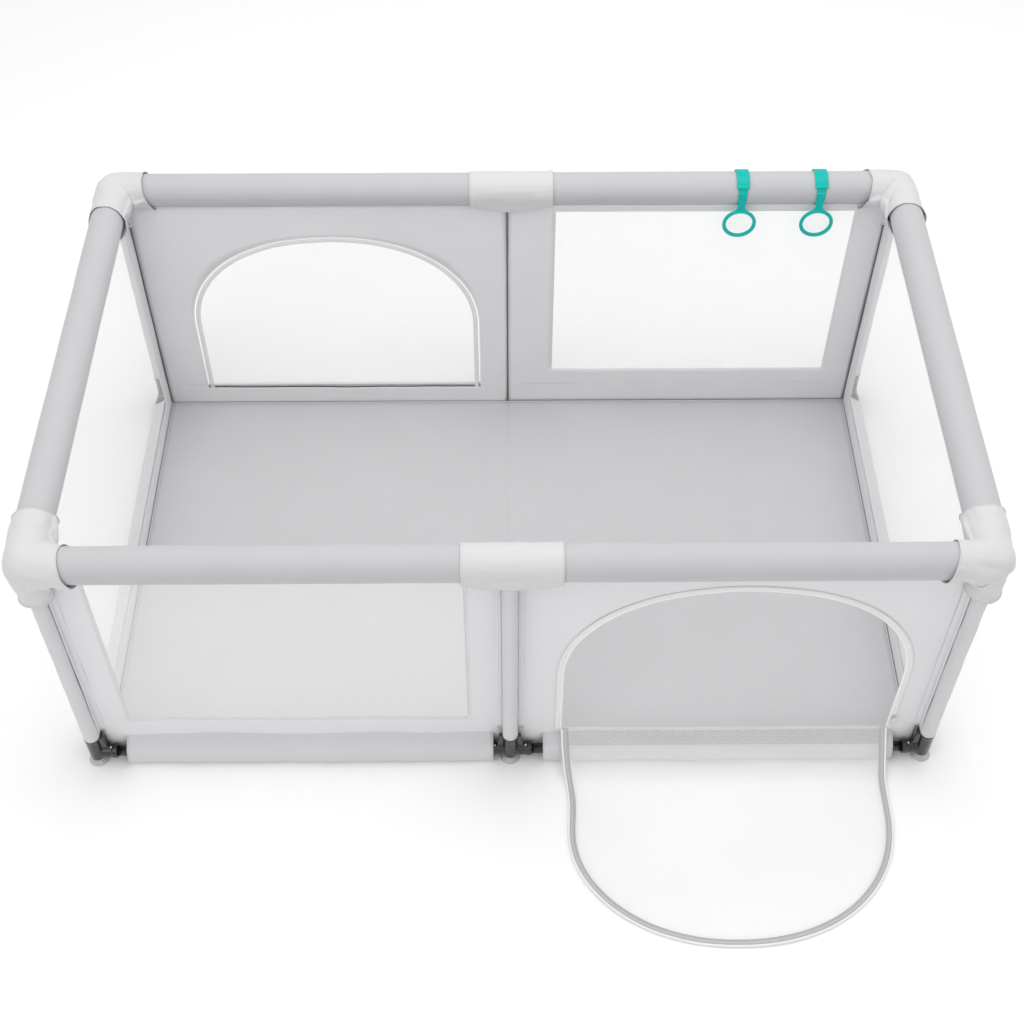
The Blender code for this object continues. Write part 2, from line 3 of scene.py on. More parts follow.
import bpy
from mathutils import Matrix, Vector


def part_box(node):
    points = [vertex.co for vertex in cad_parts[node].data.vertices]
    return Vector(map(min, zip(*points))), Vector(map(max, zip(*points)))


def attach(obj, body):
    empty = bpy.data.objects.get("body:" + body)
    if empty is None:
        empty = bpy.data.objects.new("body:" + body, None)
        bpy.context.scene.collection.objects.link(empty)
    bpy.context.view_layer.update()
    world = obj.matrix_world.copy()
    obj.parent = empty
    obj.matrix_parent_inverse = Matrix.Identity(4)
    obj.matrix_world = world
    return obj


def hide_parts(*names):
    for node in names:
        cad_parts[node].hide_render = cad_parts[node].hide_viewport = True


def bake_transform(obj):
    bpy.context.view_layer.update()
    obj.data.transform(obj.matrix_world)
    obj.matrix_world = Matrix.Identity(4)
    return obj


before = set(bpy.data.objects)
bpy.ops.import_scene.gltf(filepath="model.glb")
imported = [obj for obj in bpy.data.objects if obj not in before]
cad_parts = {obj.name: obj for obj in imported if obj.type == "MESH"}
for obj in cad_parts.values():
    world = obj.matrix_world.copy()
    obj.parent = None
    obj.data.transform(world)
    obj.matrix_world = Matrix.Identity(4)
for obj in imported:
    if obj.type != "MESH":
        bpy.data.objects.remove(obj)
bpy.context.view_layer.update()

import math

import bmesh
import bpy
from bpy.props import FloatProperty, FloatVectorProperty, IntProperty, PointerProperty
from mathutils import Matrix, Vector, noise

bl_info = {
    "name": "Playpen Maker",
    "version": (1, 0, 0),
    "blender": (4, 5, 0),
    "location": "View3D > Sidebar > Playpen",
    "description": "Makes the cloth, netting, padding and mouldings of a playpen round its frame",
    "category": "Object",
}

# ---------------------------------------------------------------- places, read from the frame


def middle(node):
    low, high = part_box(node)
    return (low + high) / 2


def half_size(node):
    low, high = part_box(node)
    return (high - low) / 2


HALF_X = middle("post_front_right").x
HALF_Y = middle("post_back_right").y
RAIL_Z = middle("rail_foam_left").z
BASE_Z = middle("base_tube_left").z
FOAM_R = half_size("rail_foam_left").x
BASE_R = half_size("base_tube_left").x
POST_R = half_size("post_front_left").x
LENGTH, DEPTH = 2 * HALF_X, 2 * HALF_Y
PANEL_Y = HALF_Y - middle("back_door_flap").y  # the walls' plane, inwards from the posts' axes
SILL_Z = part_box("front_door_apron")[1].z
FOLD_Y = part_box("front_door_flap")[1].y
HINGE_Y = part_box("front_door_apron")[1].y
COVER_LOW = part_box("corner_cover_front_left")[0].z

X, Y, Z = Vector((1, 0, 0)), Vector((0, 1, 0)), Vector((0, 0, 1))
CORNERS = {
    "front_left": (-1, -1),
    "front_right": (1, -1),
    "back_left": (-1, 1),
    "back_right": (1, 1),
}


def wall_point(wall, u, y, z):
    """A point of a wall: u from its left corner post seen from outside, y inwards, z up."""
    if wall == "front":
        return Vector((u - HALF_X, y - HALF_Y, z))
    if wall == "back":
        return Vector((HALF_X - u, HALF_Y - y, z))
    if wall == "left":
        return Vector((y - HALF_X, HALF_Y - u, z))
    return Vector((HALF_X - y, u - HALF_Y, z))


# ---------------------------------------------------------------- settings


def length_setting(label, text, default, low, high):
    return FloatProperty(name=label, description=text, default=default, min=low, max=high, unit="LENGTH")


def colour_setting(label, text, default):
    return FloatVectorProperty(
        name=label, description=text, default=default, size=3, min=0, max=1, subtype="COLOR"
    )


class PlaypenSizes(bpy.types.PropertyGroup):
    cloth: length_setting("Cloth Thickness", "Thickness of the woven cloth", 0.0009, 0.0003, 0.003)
    stitch_length: length_setting("Stitch Length", "Length of one stitch", 0.0030, 0.001, 0.01)
    stitch_pitch: length_setting("Stitch Pitch", "Distance from one stitch to the next", 0.0046, 0.002, 0.02)
    tooth_pitch: length_setting("Zip Tooth Pitch", "Distance from one tooth to the next", 0.003, 0.001, 0.01)
    piping: length_setting("Piping Radius", "Radius of the piping round the doorway", 0.0030, 0.001, 0.006)
    net_pitch: length_setting("Netting Pitch", "Distance between the netting's holes", 0.0026, 0.001, 0.01)
    wrinkle: length_setting("Wrinkle Depth", "How far slack cloth stands out of its plane", 0.0016, 0.0, 0.01)
    cloth_frames: IntProperty(
        name="Cloth Frames", description="Frames of cloth simulation for a corner cover",
        default=16, min=4, max=60,
    )


class PlaypenColours(bpy.types.PropertyGroup):
    cloth: colour_setting("Cloth", "Woven cloth of the walls", (0.75, 0.75, 0.765))
    # Darker than the walls' cloth: partly the rails' own grey, and partly painted shade for the rails' shaded
    # lower sides.
    rail: colour_setting("Rails", "Woven cloth round the padded rails", (0.51, 0.51, 0.525))
    cover: colour_setting("Covers", "Cloth of the corner covers", (0.63, 0.63, 0.64))
    floor: colour_setting("Floor", "Cloth of the floor sheet", (0.555, 0.555, 0.565))
    netting: colour_setting("Netting", "Thread of the netting", (0.97, 0.97, 0.975))
    binding: colour_setting("Binding", "Tape round the edge of a door", (0.50, 0.50, 0.51))
    ring: colour_setting("Rings", "Soft moulding of the pull rings", (0.0, 0.45, 0.40))


def sizes():
    return bpy.context.scene.playpen_sizes


def colours():
    return bpy.context.scene.playpen_colours


# ---------------------------------------------------------------- materials


def new_material(name):
    made = bpy.data.materials.get(name)
    if made:
        return made, None, None
    made = bpy.data.materials.new(name)
    made.use_nodes = True
    return made, made.node_tree, made.node_tree.nodes["Principled BSDF"]


def node(tree, kind, **values):
    """A node with its properties and, where the name is an input, its input values set."""
    made = tree.nodes.new(kind)
    for name, value in values.items():
        if hasattr(made, name):
            setattr(made, name, value)
        else:
            made.inputs[name.replace("_", " ")].default_value = value
    return made


def maths(tree, operation, first, second=None):
    made = node(tree, "ShaderNodeMath", operation=operation)
    for socket, value in zip(made.inputs, (first, second)):
        if isinstance(value, bpy.types.NodeSocket):
            tree.links.new(value, socket)
        elif value is not None:
            socket.default_value = value
    return made.outputs[0]


def tint(tree, amount, colour, factor):
    """The colour, lighter and darker by amount as factor goes from 1 to 0."""
    mix = node(tree, "ShaderNodeMix", data_type="RGBA")
    mix.inputs[6].default_value = (*(c * (1 - amount) for c in colour), 1)
    mix.inputs[7].default_value = (*(min(1, c * (1 + amount)) for c in colour), 1)
    tree.links.new(factor, mix.inputs[0])
    return mix.outputs[2]


def weave_height(tree, pitch):
    """Over-and-under threads in the piece's own UV map, which is in metres."""
    uv = node(tree, "ShaderNodeUVMap", uv_map="cloth")
    parts = node(tree, "ShaderNodeSeparateXYZ")
    tree.links.new(uv.outputs[0], parts.inputs[0])
    across = maths(tree, "MULTIPLY", parts.outputs[0], 1 / pitch)
    along = maths(tree, "MULTIPLY", parts.outputs[1], 1 / pitch)
    wave_a = maths(tree, "ABSOLUTE", maths(tree, "SINE", maths(tree, "MULTIPLY", across, math.pi)))
    wave_b = maths(tree, "ABSOLUTE", maths(tree, "SINE", maths(tree, "MULTIPLY", along, math.pi)))
    cells = maths(tree, "ADD", maths(tree, "FLOOR", across), maths(tree, "FLOOR", along))
    odd = maths(tree, "MULTIPLY", maths(tree, "FRACT", maths(tree, "MULTIPLY", cells, 0.5)), 2)
    over = maths(tree, "MULTIPLY", wave_a, odd)
    under = maths(tree, "MULTIPLY", wave_b, maths(tree, "SUBTRACT", 1.0, odd))
    return maths(tree, "ADD", over, under)


def cloth_material(name, colour, pitch=0.0011, depth=0.00012, roughness=0.82, sheen=0.25):
    """Woven cloth: threads, soft creases and a slightly uneven colour."""
    made, tree, shader = new_material(name)
    if tree is None:
        return made
    place = node(tree, "ShaderNodeTexCoord")
    blotch = node(tree, "ShaderNodeTexNoise", Scale=7.0, Detail=3.0, Roughness=0.55)
    crease = node(tree, "ShaderNodeTexNoise", Scale=34.0, Detail=4.0, Roughness=0.6, Distortion=0.5)
    for texture in (blotch, crease):
        tree.links.new(place.outputs["Object"], texture.inputs["Vector"])
    threads = weave_height(tree, pitch)
    shade = maths(tree, "ADD", maths(tree, "MULTIPLY", blotch.outputs[0], 0.7),
                  maths(tree, "MULTIPLY", threads, 0.3))
    tree.links.new(tint(tree, 0.045, colour, shade), shader.inputs["Base Color"])
    fine = node(tree, "ShaderNodeBump", Strength=0.55, Distance=depth)
    soft = node(tree, "ShaderNodeBump", Strength=0.35, Distance=0.0012)
    tree.links.new(threads, fine.inputs["Height"])
    tree.links.new(crease.outputs[0], soft.inputs["Height"])
    tree.links.new(soft.outputs[0], fine.inputs["Normal"])
    tree.links.new(fine.outputs[0], shader.inputs["Normal"])
    rough = node(tree, "ShaderNodeMapRange", To_Min=roughness - 0.08, To_Max=roughness + 0.08)
    tree.links.new(crease.outputs[0], rough.inputs[0])
    tree.links.new(rough.outputs[0], shader.inputs["Roughness"])
    shader.inputs["Sheen Weight"].default_value = sheen
    shader.inputs["Sheen Roughness"].default_value = 0.4
    shader.inputs["Specular IOR Level"].default_value = 0.25
    return made


ROW_STEP = 0.866  # between rows of holes, over the distance between holes


def netting_material(name, colour, pitch, hole=0.39):
    """Fine warp-knit netting: staggered round holes in the piece's UV map, in metres."""
    made, tree, shader = new_material(name)
    if tree is None:
        return made
    uv = node(tree, "ShaderNodeUVMap", uv_map="cloth")
    parts = node(tree, "ShaderNodeSeparateXYZ")
    tree.links.new(uv.outputs[0], parts.inputs[0])
    row = maths(tree, "MULTIPLY", parts.outputs[1], 1 / (pitch * ROW_STEP))
    shift = maths(tree, "FRACT", maths(tree, "MULTIPLY", maths(tree, "FLOOR", row), 0.5))
    column = maths(tree, "ADD", maths(tree, "MULTIPLY", parts.outputs[0], 1 / pitch), shift)
    du = maths(tree, "SUBTRACT", maths(tree, "FRACT", column), 0.5)
    dv = maths(tree, "MULTIPLY", maths(tree, "SUBTRACT", maths(tree, "FRACT", row), 0.5), ROW_STEP)
    squares = maths(tree, "ADD", maths(tree, "MULTIPLY", du, du), maths(tree, "MULTIPLY", dv, dv))
    far = maths(tree, "SQRT", squares)
    solid = node(tree, "ShaderNodeMapRange", interpolation_type="SMOOTHSTEP",
                 From_Min=hole - 0.05, From_Max=hole + 0.05)
    tree.links.new(far, solid.inputs[0])
    tree.links.new(solid.outputs[0], shader.inputs["Alpha"])
    bump = node(tree, "ShaderNodeBump", Strength=0.5, Distance=0.0003)
    tree.links.new(far, bump.inputs["Height"])
    tree.links.new(bump.outputs[0], shader.inputs["Normal"])
    place = node(tree, "ShaderNodeTexCoord")
    blotch = node(tree, "ShaderNodeTexNoise", Scale=9.0, Detail=2.0)
    tree.links.new(place.outputs["Object"], blotch.inputs["Vector"])
    tree.links.new(tint(tree, 0.02, colour, blotch.outputs[0]), shader.inputs["Base Color"])
    shader.inputs["Roughness"].default_value = 0.7
    shader.inputs["Specular IOR Level"].default_value = 0.3
    return made


PIT_DEPTH = 0.00006


def moulded_material(name, colour, roughness, coat=0.0, clear=0.0, metallic=0.0, gloss=0.5):
    """Moulded plastic, rubber, or painted or plated metal, with a fine uneven surface."""
    made, tree, shader = new_material(name)
    if tree is None:
        return made
    place = node(tree, "ShaderNodeTexCoord")
    pits = node(tree, "ShaderNodeTexNoise", Scale=900.0, Detail=2.0)
    wear = node(tree, "ShaderNodeTexNoise", Scale=45.0, Detail=4.0, Roughness=0.6)
    for texture in (pits, wear):
        tree.links.new(place.outputs["Object"], texture.inputs["Vector"])
    tree.links.new(tint(tree, 0.06, colour, wear.outputs[0]), shader.inputs["Base Color"])
    bump = node(tree, "ShaderNodeBump", Strength=0.4, Distance=PIT_DEPTH)
    tree.links.new(pits.outputs[0], bump.inputs["Height"])
    tree.links.new(bump.outputs[0], shader.inputs["Normal"])
    rough = node(tree, "ShaderNodeMapRange", To_Min=roughness - 0.06, To_Max=roughness + 0.08)
    tree.links.new(wear.outputs[0], rough.inputs[0])
    tree.links.new(rough.outputs[0], shader.inputs["Roughness"])
    shader.inputs["Metallic"].default_value = metallic
    shader.inputs["Coat Weight"].default_value = coat
    shader.inputs["Transmission Weight"].default_value = clear
    shader.inputs["Specular IOR Level"].default_value = gloss
    return made


def wall_cloth():
    return cloth_material("wall_cloth_woven", colours().cloth)


def sleeve_cloth():
    # Halfway between the walls' cloth and the rails' darker cloth, so it carries half of the rails' painted
    # shade.
    shade = [(a + b) / 2 for a, b in zip(colours().cloth, colours().rail)]
    return cloth_material("sleeve_cloth_woven", shade)


def rail_cloth():
    # The walls' woven cloth in the rails' darker colour, which is partly painted shade.
    return cloth_material("rail_cloth_woven", colours().rail)


def cover_cloth():
    return cloth_material("cover_cloth_woven", colours().cover, 0.0009, 0.0001, 0.85, 0.35)


def floor_cloth():
    return cloth_material("floor_cloth_woven", colours().floor, 0.0014, 0.00015, 0.78, 0.15)


def netting():
    return netting_material("netting_white", colours().netting, sizes().net_pitch)


def white_tape():
    return cloth_material("white_tape", (0.88, 0.88, 0.885), 0.0008, 0.0001, 0.7, 0.2)


def pale_tape():
    return cloth_material("pale_tape", (0.80, 0.80, 0.81), 0.0008, 0.0001, 0.75, 0.2)


def grey_tape():
    return cloth_material("grey_tape", colours().binding, 0.0008, 0.0001, 0.75, 0.2)


def thread():
    return moulded_material("sewing_thread", (0.78, 0.78, 0.79), 0.6)


def black_plastic():
    return moulded_material("black_moulding", (0.010, 0.010, 0.012), 0.26, coat=0.5)


def plated():
    return moulded_material("plated_metal", (0.72, 0.72, 0.73), 0.22, metallic=1.0)


# ---------------------------------------------------------------- meshes


def finish_piece(made, material, body="frame"):
    made.data.materials.clear()
    made.data.materials.append(material)
    made.data.shade_smooth()
    if body:
        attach(made, body)
    return made


def from_bmesh(name, bm, recalc=True):
    if recalc:
        bmesh.ops.recalc_face_normals(bm, faces=bm.faces)
    mesh = bpy.data.meshes.new(name)
    bm.to_mesh(mesh)
    bm.free()
    made = bpy.data.objects.new(name, mesh)
    bpy.context.scene.collection.objects.link(made)
    return made


def grid(bm, rows, uvs=None, close=False, layer=None):
    """Quads between rows of points. uvs holds a (u, v) in metres for each point."""
    made = [[bm.verts.new(p) for p in row] for row in rows]
    count = len(rows[0])
    steps = count if close else count - 1
    for i in range(len(rows) - 1):
        for j in range(steps):
            k = (j + 1) % count
            face = bm.faces.new((made[i][j], made[i][k], made[i + 1][k], made[i + 1][j]))
            if layer is not None:
                after = j + 1 if close else k
                spots = ((i, j), (i, after), (i + 1, after), (i + 1, j))
                for loop, (a, b) in zip(face.loops, spots):
                    loop[layer].uv = uvs(a, b)
    return made


def sheet_piece(name, rows, material, body="frame", thickness=0.0, close=False, uvs=None):
    """A sheet over rows of points, with a UV map in metres and an optional thickness."""
    bm = bmesh.new()
    layer = bm.loops.layers.uv.new("cloth")
    if uvs is None:
        row, column = rows[len(rows) // 2], [r[len(r) // 2] for r in rows]
        across = [0.0]
        for a, b in zip(row, row[1:] + row[:1]):
            across.append(across[-1] + (b - a).length)
        along = [0.0]
        for a, b in zip(column, column[1:]):
            along.append(along[-1] + (b - a).length)
        uvs = lambda i, j: (across[j], along[i])
    grid(bm, rows, uvs, close, layer)
    made = from_bmesh(name, bm)
    finish_piece(made, material, body)
    if thickness:
        thicken(made, thickness)
    return made


def thicken(made, thickness, offset=0.0, even=True):
    solid = made.modifiers.new("thickness", "SOLIDIFY")
    solid.thickness = thickness
    solid.offset = offset
    solid.use_even_offset = even
    solid.use_quality_normals = even


def frames_along(points, closed):
    """A (tangent, side, up) triple at each point, turning as little as possible."""
    count = len(points)
    result, side = [], None
    for i in range(count):
        before = points[i - 1] if i or closed else points[0]
        after = points[(i + 1) % count] if i < count - 1 or closed else points[-1]
        tangent = (after - before).normalized()
        if side is None:
            start = Z if abs(tangent.z) < 0.9 else X
            side = tangent.cross(start).normalized()
        side = (side - tangent * side.dot(tangent)).normalized()
        result.append((tangent, side, tangent.cross(side)))
    return result


def capped(bm, rows):
    """A closed surface over rings of points, with a flat face on each end."""
    made = grid(bm, rows, close=True)
    bm.faces.new(list(reversed(made[0])))
    bm.faces.new(made[-1])


def recalculated(bm):
    bmesh.ops.recalc_face_normals(bm, faces=bm.faces)
    return bm


def tube(bm, points, radius, sides=8, closed=False):
    """A round tube along points, with a flat face on each end where it is open."""
    rows = []
    turns = frames_along(points, closed)
    for p, (_, side, up) in zip(points, turns):
        rows.append([
            p + side * radius * math.cos(a) + up * radius * math.sin(a)
            for a in (2 * math.pi * k / sides for k in range(sides))
        ])
    if closed:
        made = grid(bm, rows, close=True)
        for j in range(sides):
            k = (j + 1) % sides
            bm.faces.new((made[-1][j], made[-1][k], made[0][k], made[0][j]))
        return
    capped(bm, rows)


def tube_piece(name, paths, radius, material, body="frame", sides=8, closed=False):
    bm = bmesh.new()
    for path in paths:
        tube(bm, path, radius, sides, closed)
    return finish_piece(from_bmesh(name, bm), material, body)


def lines_object(name, paths, closed=False):
    """Bare edges for the node trees that sew stitches and teeth along them."""
    bm = bmesh.new()
    for path in paths:
        verts = [bm.verts.new(p) for p in path]
        for a, b in zip(verts, verts[1:]):
            bm.edges.new((a, b))
        if closed:
            bm.edges.new((verts[-1], verts[0]))
    return from_bmesh(name, bm, recalc=False)


def row_tree():
    """Small blocks along a path: stitches, or the teeth of a zip."""
    made = bpy.data.node_groups.get("blocks_along_path")
    if made:
        return made
    tree = bpy.data.node_groups.new("blocks_along_path", "GeometryNodeTree")
    sockets = tree.interface
    sockets.new_socket("Geometry", in_out="INPUT", socket_type="NodeSocketGeometry")
    for name in ("Pitch", "Length", "Width", "Height"):
        sockets.new_socket(name, in_out="INPUT", socket_type="NodeSocketFloat")
    sockets.new_socket("Material", in_out="INPUT", socket_type="NodeSocketMaterial")
    sockets.new_socket("Geometry", in_out="OUTPUT", socket_type="NodeSocketGeometry")
    start = tree.nodes.new("NodeGroupInput")
    end = tree.nodes.new("NodeGroupOutput")
    curve = tree.nodes.new("GeometryNodeMeshToCurve")
    points = node(tree, "GeometryNodeCurveToPoints", mode="LENGTH")
    size = tree.nodes.new("ShaderNodeCombineXYZ")
    block = node(tree, "GeometryNodeMeshCube")
    copies = tree.nodes.new("GeometryNodeInstanceOnPoints")
    real = tree.nodes.new("GeometryNodeRealizeInstances")
    paint = tree.nodes.new("GeometryNodeSetMaterial")
    for source, out, target, into in (
        (start, "Geometry", curve, "Mesh"),
        (curve, 0, points, "Curve"),
        (start, "Pitch", points, "Length"),
        (start, "Width", size, 0),
        (start, "Height", size, 1),
        (start, "Length", size, 2),
        (size, 0, block, "Size"),
        (points, "Points", copies, "Points"),
        (points, "Rotation", copies, "Rotation"),
        (block, "Mesh", copies, "Instance"),
        (copies, 0, real, 0),
        (real, 0, paint, "Geometry"),
        (start, "Material", paint, "Material"),
        (paint, 0, end, 0),
    ):
        tree.links.new(source.outputs[out], target.inputs[into])
    return tree


def blocks_along(name, paths, pitch, size, material, body, closed=False):
    """Blocks every pitch along paths, each of the given length, width and height."""
    lines = lines_object(name, paths, closed)
    nodes = lines.modifiers.new("blocks", "NODES")
    tree = row_tree()
    nodes.node_group = tree
    values = {"Pitch": pitch, "Length": size[0], "Width": size[1], "Height": size[2], "Material": material}
    for item in tree.interface.items_tree:
        if item.in_out == "INPUT" and item.name in values:
            nodes[item.identifier] = values[item.name]
    lines.update_tag()
    graph = bpy.context.evaluated_depsgraph_get()
    graph.update()
    mesh = bpy.data.meshes.new_from_object(lines.evaluated_get(graph))
    bpy.data.objects.remove(lines)
    made = bpy.data.objects.new(name, mesh)
    bpy.context.scene.collection.objects.link(made)
    if body:
        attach(made, body)
    return made


THREAD = 0.0008


def stitches(name, paths, body="frame", closed=False):
    size = (sizes().stitch_length, THREAD, THREAD)
    return blocks_along(name, paths, sizes().stitch_pitch, size, thread(), body, closed)


def zip_teeth(name, path, width, height, body):
    pitch = sizes().tooth_pitch
    return blocks_along(name, [path], pitch, (pitch * 0.6, width, height), white_tape(), body)


def add_shape(bm, shape):
    """Adds one mesh under construction to another, and frees it."""
    scrap = bpy.data.meshes.new("scrap")
    shape.to_mesh(scrap)
    shape.free()
    bm.from_mesh(scrap)
    bpy.data.meshes.remove(scrap)


def fused(name, shapes, voxel):
    """One moulded-looking surface over several closed shapes, with small fillets."""
    bm = bmesh.new()
    for shape in shapes:
        add_shape(bm, shape)
    made = from_bmesh(name, bm, recalc=False)
    remesh = made.modifiers.new("fuse", "REMESH")
    remesh.mode = "VOXEL"
    remesh.voxel_size = voxel
    relax = made.modifiers.new("relax", "SMOOTH")
    relax.iterations = 3
    relax.factor = 0.5
    return baked(made)


def baked(made):
    """Applies an object's modifiers to its mesh."""
    graph = bpy.context.evaluated_depsgraph_get()
    graph.update()
    mesh = bpy.data.meshes.new_from_object(made.evaluated_get(graph))
    made.modifiers.clear()
    old, made.data = made.data, mesh
    bpy.data.meshes.remove(old)
    return made


def rod(start, end, radius, sides=40, end_radius=None):
    bm = bmesh.new()
    start, end = Vector(start), Vector(end)
    turn = (end - start).to_track_quat("Z", "Y").to_matrix().to_4x4()
    bmesh.ops.create_cone(
        bm, cap_ends=True, segments=sides, radius1=radius,
        radius2=radius if end_radius is None else end_radius,
        depth=(end - start).length, matrix=Matrix.Translation((start + end) / 2) @ turn,
    )
    return bm


def turned(profile, centre, steps=48):
    """A solid of revolution about the vertical through centre, from (radius, z) pairs."""
    bm = bmesh.new()
    rows = [
        [Vector((centre[0] + r * math.cos(a), centre[1] + r * math.sin(a), z))
         for a in (2 * math.pi * k / steps for k in range(steps))]
        for r, z in profile
    ]
    capped(bm, rows)
    return recalculated(bm)


# ---------------------------------------------------------------- shapes of the walls


def smooth_noise(place, scale, seed=0.0):
    return noise.noise(Vector((place[0] * scale + seed, place[1] * scale, place[2] * scale - seed)))


def slack(wall, u, z):
    """How far slack cloth stands out of its wall's plane."""
    seed = {"front": 1.0, "back": 5.0, "left": 9.0, "right": 13.0}[wall]
    long_wave = smooth_noise((u, z * 0.35, 0), 6.0, seed)
    short_wave = smooth_noise((u, z * 0.6, 0), 17.0, seed + 3)
    ease = min(1, max(0, (RAIL_Z - 0.03 - z) / 0.06)) * min(1, max(0, (z - 0.01) / 0.04))
    return sizes().wrinkle * ease * (1.4 * long_wave + 0.6 * short_wave)


def resample(points, count):
    """count points evenly spaced along an open path of (u, z) pairs."""
    lengths = [0.0]
    for a, b in zip(points, points[1:]):
        lengths.append(lengths[-1] + math.dist(a, b))
    result, i = [], 0
    for k in range(count):
        want = lengths[-1] * k / (count - 1)
        while i < len(lengths) - 2 and lengths[i + 1] < want:
            i += 1
        span = lengths[i + 1] - lengths[i] or 1
        t = (want - lengths[i]) / span
        result.append(tuple(p + (q - p) * t for p, q in zip(points[i], points[i + 1])))
    return result


SIDE_STEPS = (44, 28)  # points along a level side and along an upright one
ARCH_POWER = 2.15
CROWN_ANGLE = 42


def window_sides(left, right, low, high):
    """The four sides of a rectangular window, anticlockwise from its low left corner."""
    across, up = SIDE_STEPS
    return (
        resample([(left, low), (right, low)], across),
        resample([(right, low), (right, high)], up),
        resample([(right, high), (left, high)], across),
        resample([(left, high), (left, low)], up),
    )


def arch_sides(left, right, low, high, spring, grow=0.0):
    """The four sides of a doorway with an arched top."""
    left, right, high = left - grow, right + grow, high + grow
    mid, half, rise = (left + right) / 2, (right - left) / 2, high - spring

    def at(degrees):
        angle = math.radians(degrees)
        cos, sin = math.cos(angle), math.sin(angle)
        u = mid + half * math.copysign(abs(cos) ** (2 / ARCH_POWER), cos)
        return u, spring + rise * abs(sin) ** (2 / ARCH_POWER)

    across, up = SIDE_STEPS
    right_side = [(right, low)] + [at(CROWN_ANGLE * i / 16) for i in range(17)]
    crown = [at(CROWN_ANGLE + (180 - 2 * CROWN_ANGLE) * i / 48) for i in range(49)]
    left_side = [at(180 - CROWN_ANGLE + CROWN_ANGLE * i / 16) for i in range(17)] + [(left, low)]
    return (
        resample([(left, low), (right, low)], across),
        resample(right_side, up),
        resample(crown, across),
        resample(left_side, up),
    )


def loop_of(sides):
    """One closed loop of (u, z) pairs from four sides, without repeating their ends."""
    return [p for side in sides for p in side[:-1]]


def coons(sides, across, up):
    """Rows of (u, z) pairs that fill the four sides."""
    low = resample(sides[0], across)
    right = resample(sides[1], up)
    high = list(reversed(resample(sides[2], across)))
    left = list(reversed(resample(sides[3], up)))
    rows = []
    for i in range(up):
        t = i / (up - 1)
        row = []
        for j in range(across):
            s = j / (across - 1)
            row.append(tuple(
                (1 - t) * low[j][k] + t * high[j][k] + (1 - s) * left[i][k] + s * right[i][k]
                - (1 - s) * (1 - t) * low[0][k] - s * (1 - t) * low[-1][k]
                - (1 - s) * t * high[0][k] - s * t * high[-1][k]
                for k in (0, 1)
            ))
        rows.append(row)
    return rows


def on_wall(wall, pairs, out=0.0):
    return [wall_point(wall, u, PANEL_Y + slack(wall, u, z) - out, z) for u, z in pairs]


def arch_of(wall):
    """Left, right, sill, crown and spring of a wall's doorway."""
    if wall == "front":
        low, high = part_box("front_door_flap")
        left, right = low.x + HALF_X, high.x + HALF_X
        return left - 0.0015, right + 0.0015, SILL_Z - 0.0015, 0.558, 0.270
    low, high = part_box("back_door_flap")
    return HALF_X - high.x - 0.0015, HALF_X - low.x + 0.0015, low.z - 0.0015, high.z + 0.0015, 0.270


BORDER_LAYERS = 1.6  # a border's thickness over one cloth's
PANEL_LOW = 0.0045
PANEL_HIGH = RAIL_Z - math.sqrt(FOAM_R**2 - (HALF_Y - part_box("back_door_flap")[1].y) ** 2) - 0.002
CENTRE_GAP = 0.0018


def panels():
    """Each panel's wall, its name, its left and right edges and the sides of its window."""
    end = PANEL_Y + 0.003
    window_high = PANEL_HIGH - 0.019
    front, back = arch_of("front"), arch_of("back")
    return (
        ("front", "front_left", end, HALF_X - CENTRE_GAP,
         window_sides(0.084, HALF_X - 0.086, 0.128, window_high)),
        ("front", "front_right", HALF_X + CENTRE_GAP, LENGTH - end, arch_sides(*front)),
        ("back", "back_right", end, HALF_X - CENTRE_GAP,
         window_sides(0.090, HALF_X - 0.108, 0.118, window_high)),
        ("back", "back_left", HALF_X + CENTRE_GAP, LENGTH - end, arch_sides(*back)),
        ("left", "left", 0.018, DEPTH - 0.018, window_sides(0.068, DEPTH - 0.068, 0.056, window_high)),
        ("right", "right", 0.018, DEPTH - 0.018, window_sides(0.068, DEPTH - 0.068, 0.056, window_high)),
    )


class PLAYPEN_OT_walls(bpy.types.Operator):
    """Make the woven borders of the walls, one panel at a time"""

    bl_idname = "playpen.walls"
    bl_label = "Walls"

    def execute(self, context):
        first = {
            "front_left": "wall_front", "back_right": "wall_back", "left": "wall_left", "right": "wall_right",
        }
        for wall, name, left, right, inner in panels():
            outer = window_sides(left, right, PANEL_LOW, PANEL_HIGH)
            inside, outside = loop_of(inner), loop_of(outer)
            steps = 9
            rows = []
            for i in range(steps + 1):
                t = i / steps
                mixed = [tuple(a + (b - a) * t for a, b in zip(p, q)) for p, q in zip(inside, outside)]
                rows.append(mixed)
            made = sheet_piece(
                f"wall_cloth_{name}", [on_wall(wall, row) for row in rows], wall_cloth(), "frame",
                sizes().cloth * BORDER_LAYERS, close=True,
                uvs=lambda i, j, rows=rows: rows[i][j % len(rows[i])],
            )
            if name in first:
                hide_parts(first[name])
        return {"FINISHED"}


def extent(loop):
    """Left, right, low and high of a loop of (u, z) pairs."""
    us, zs = [p[0] for p in loop], [p[1] for p in loop]
    return min(us), max(us), min(zs), max(zs)


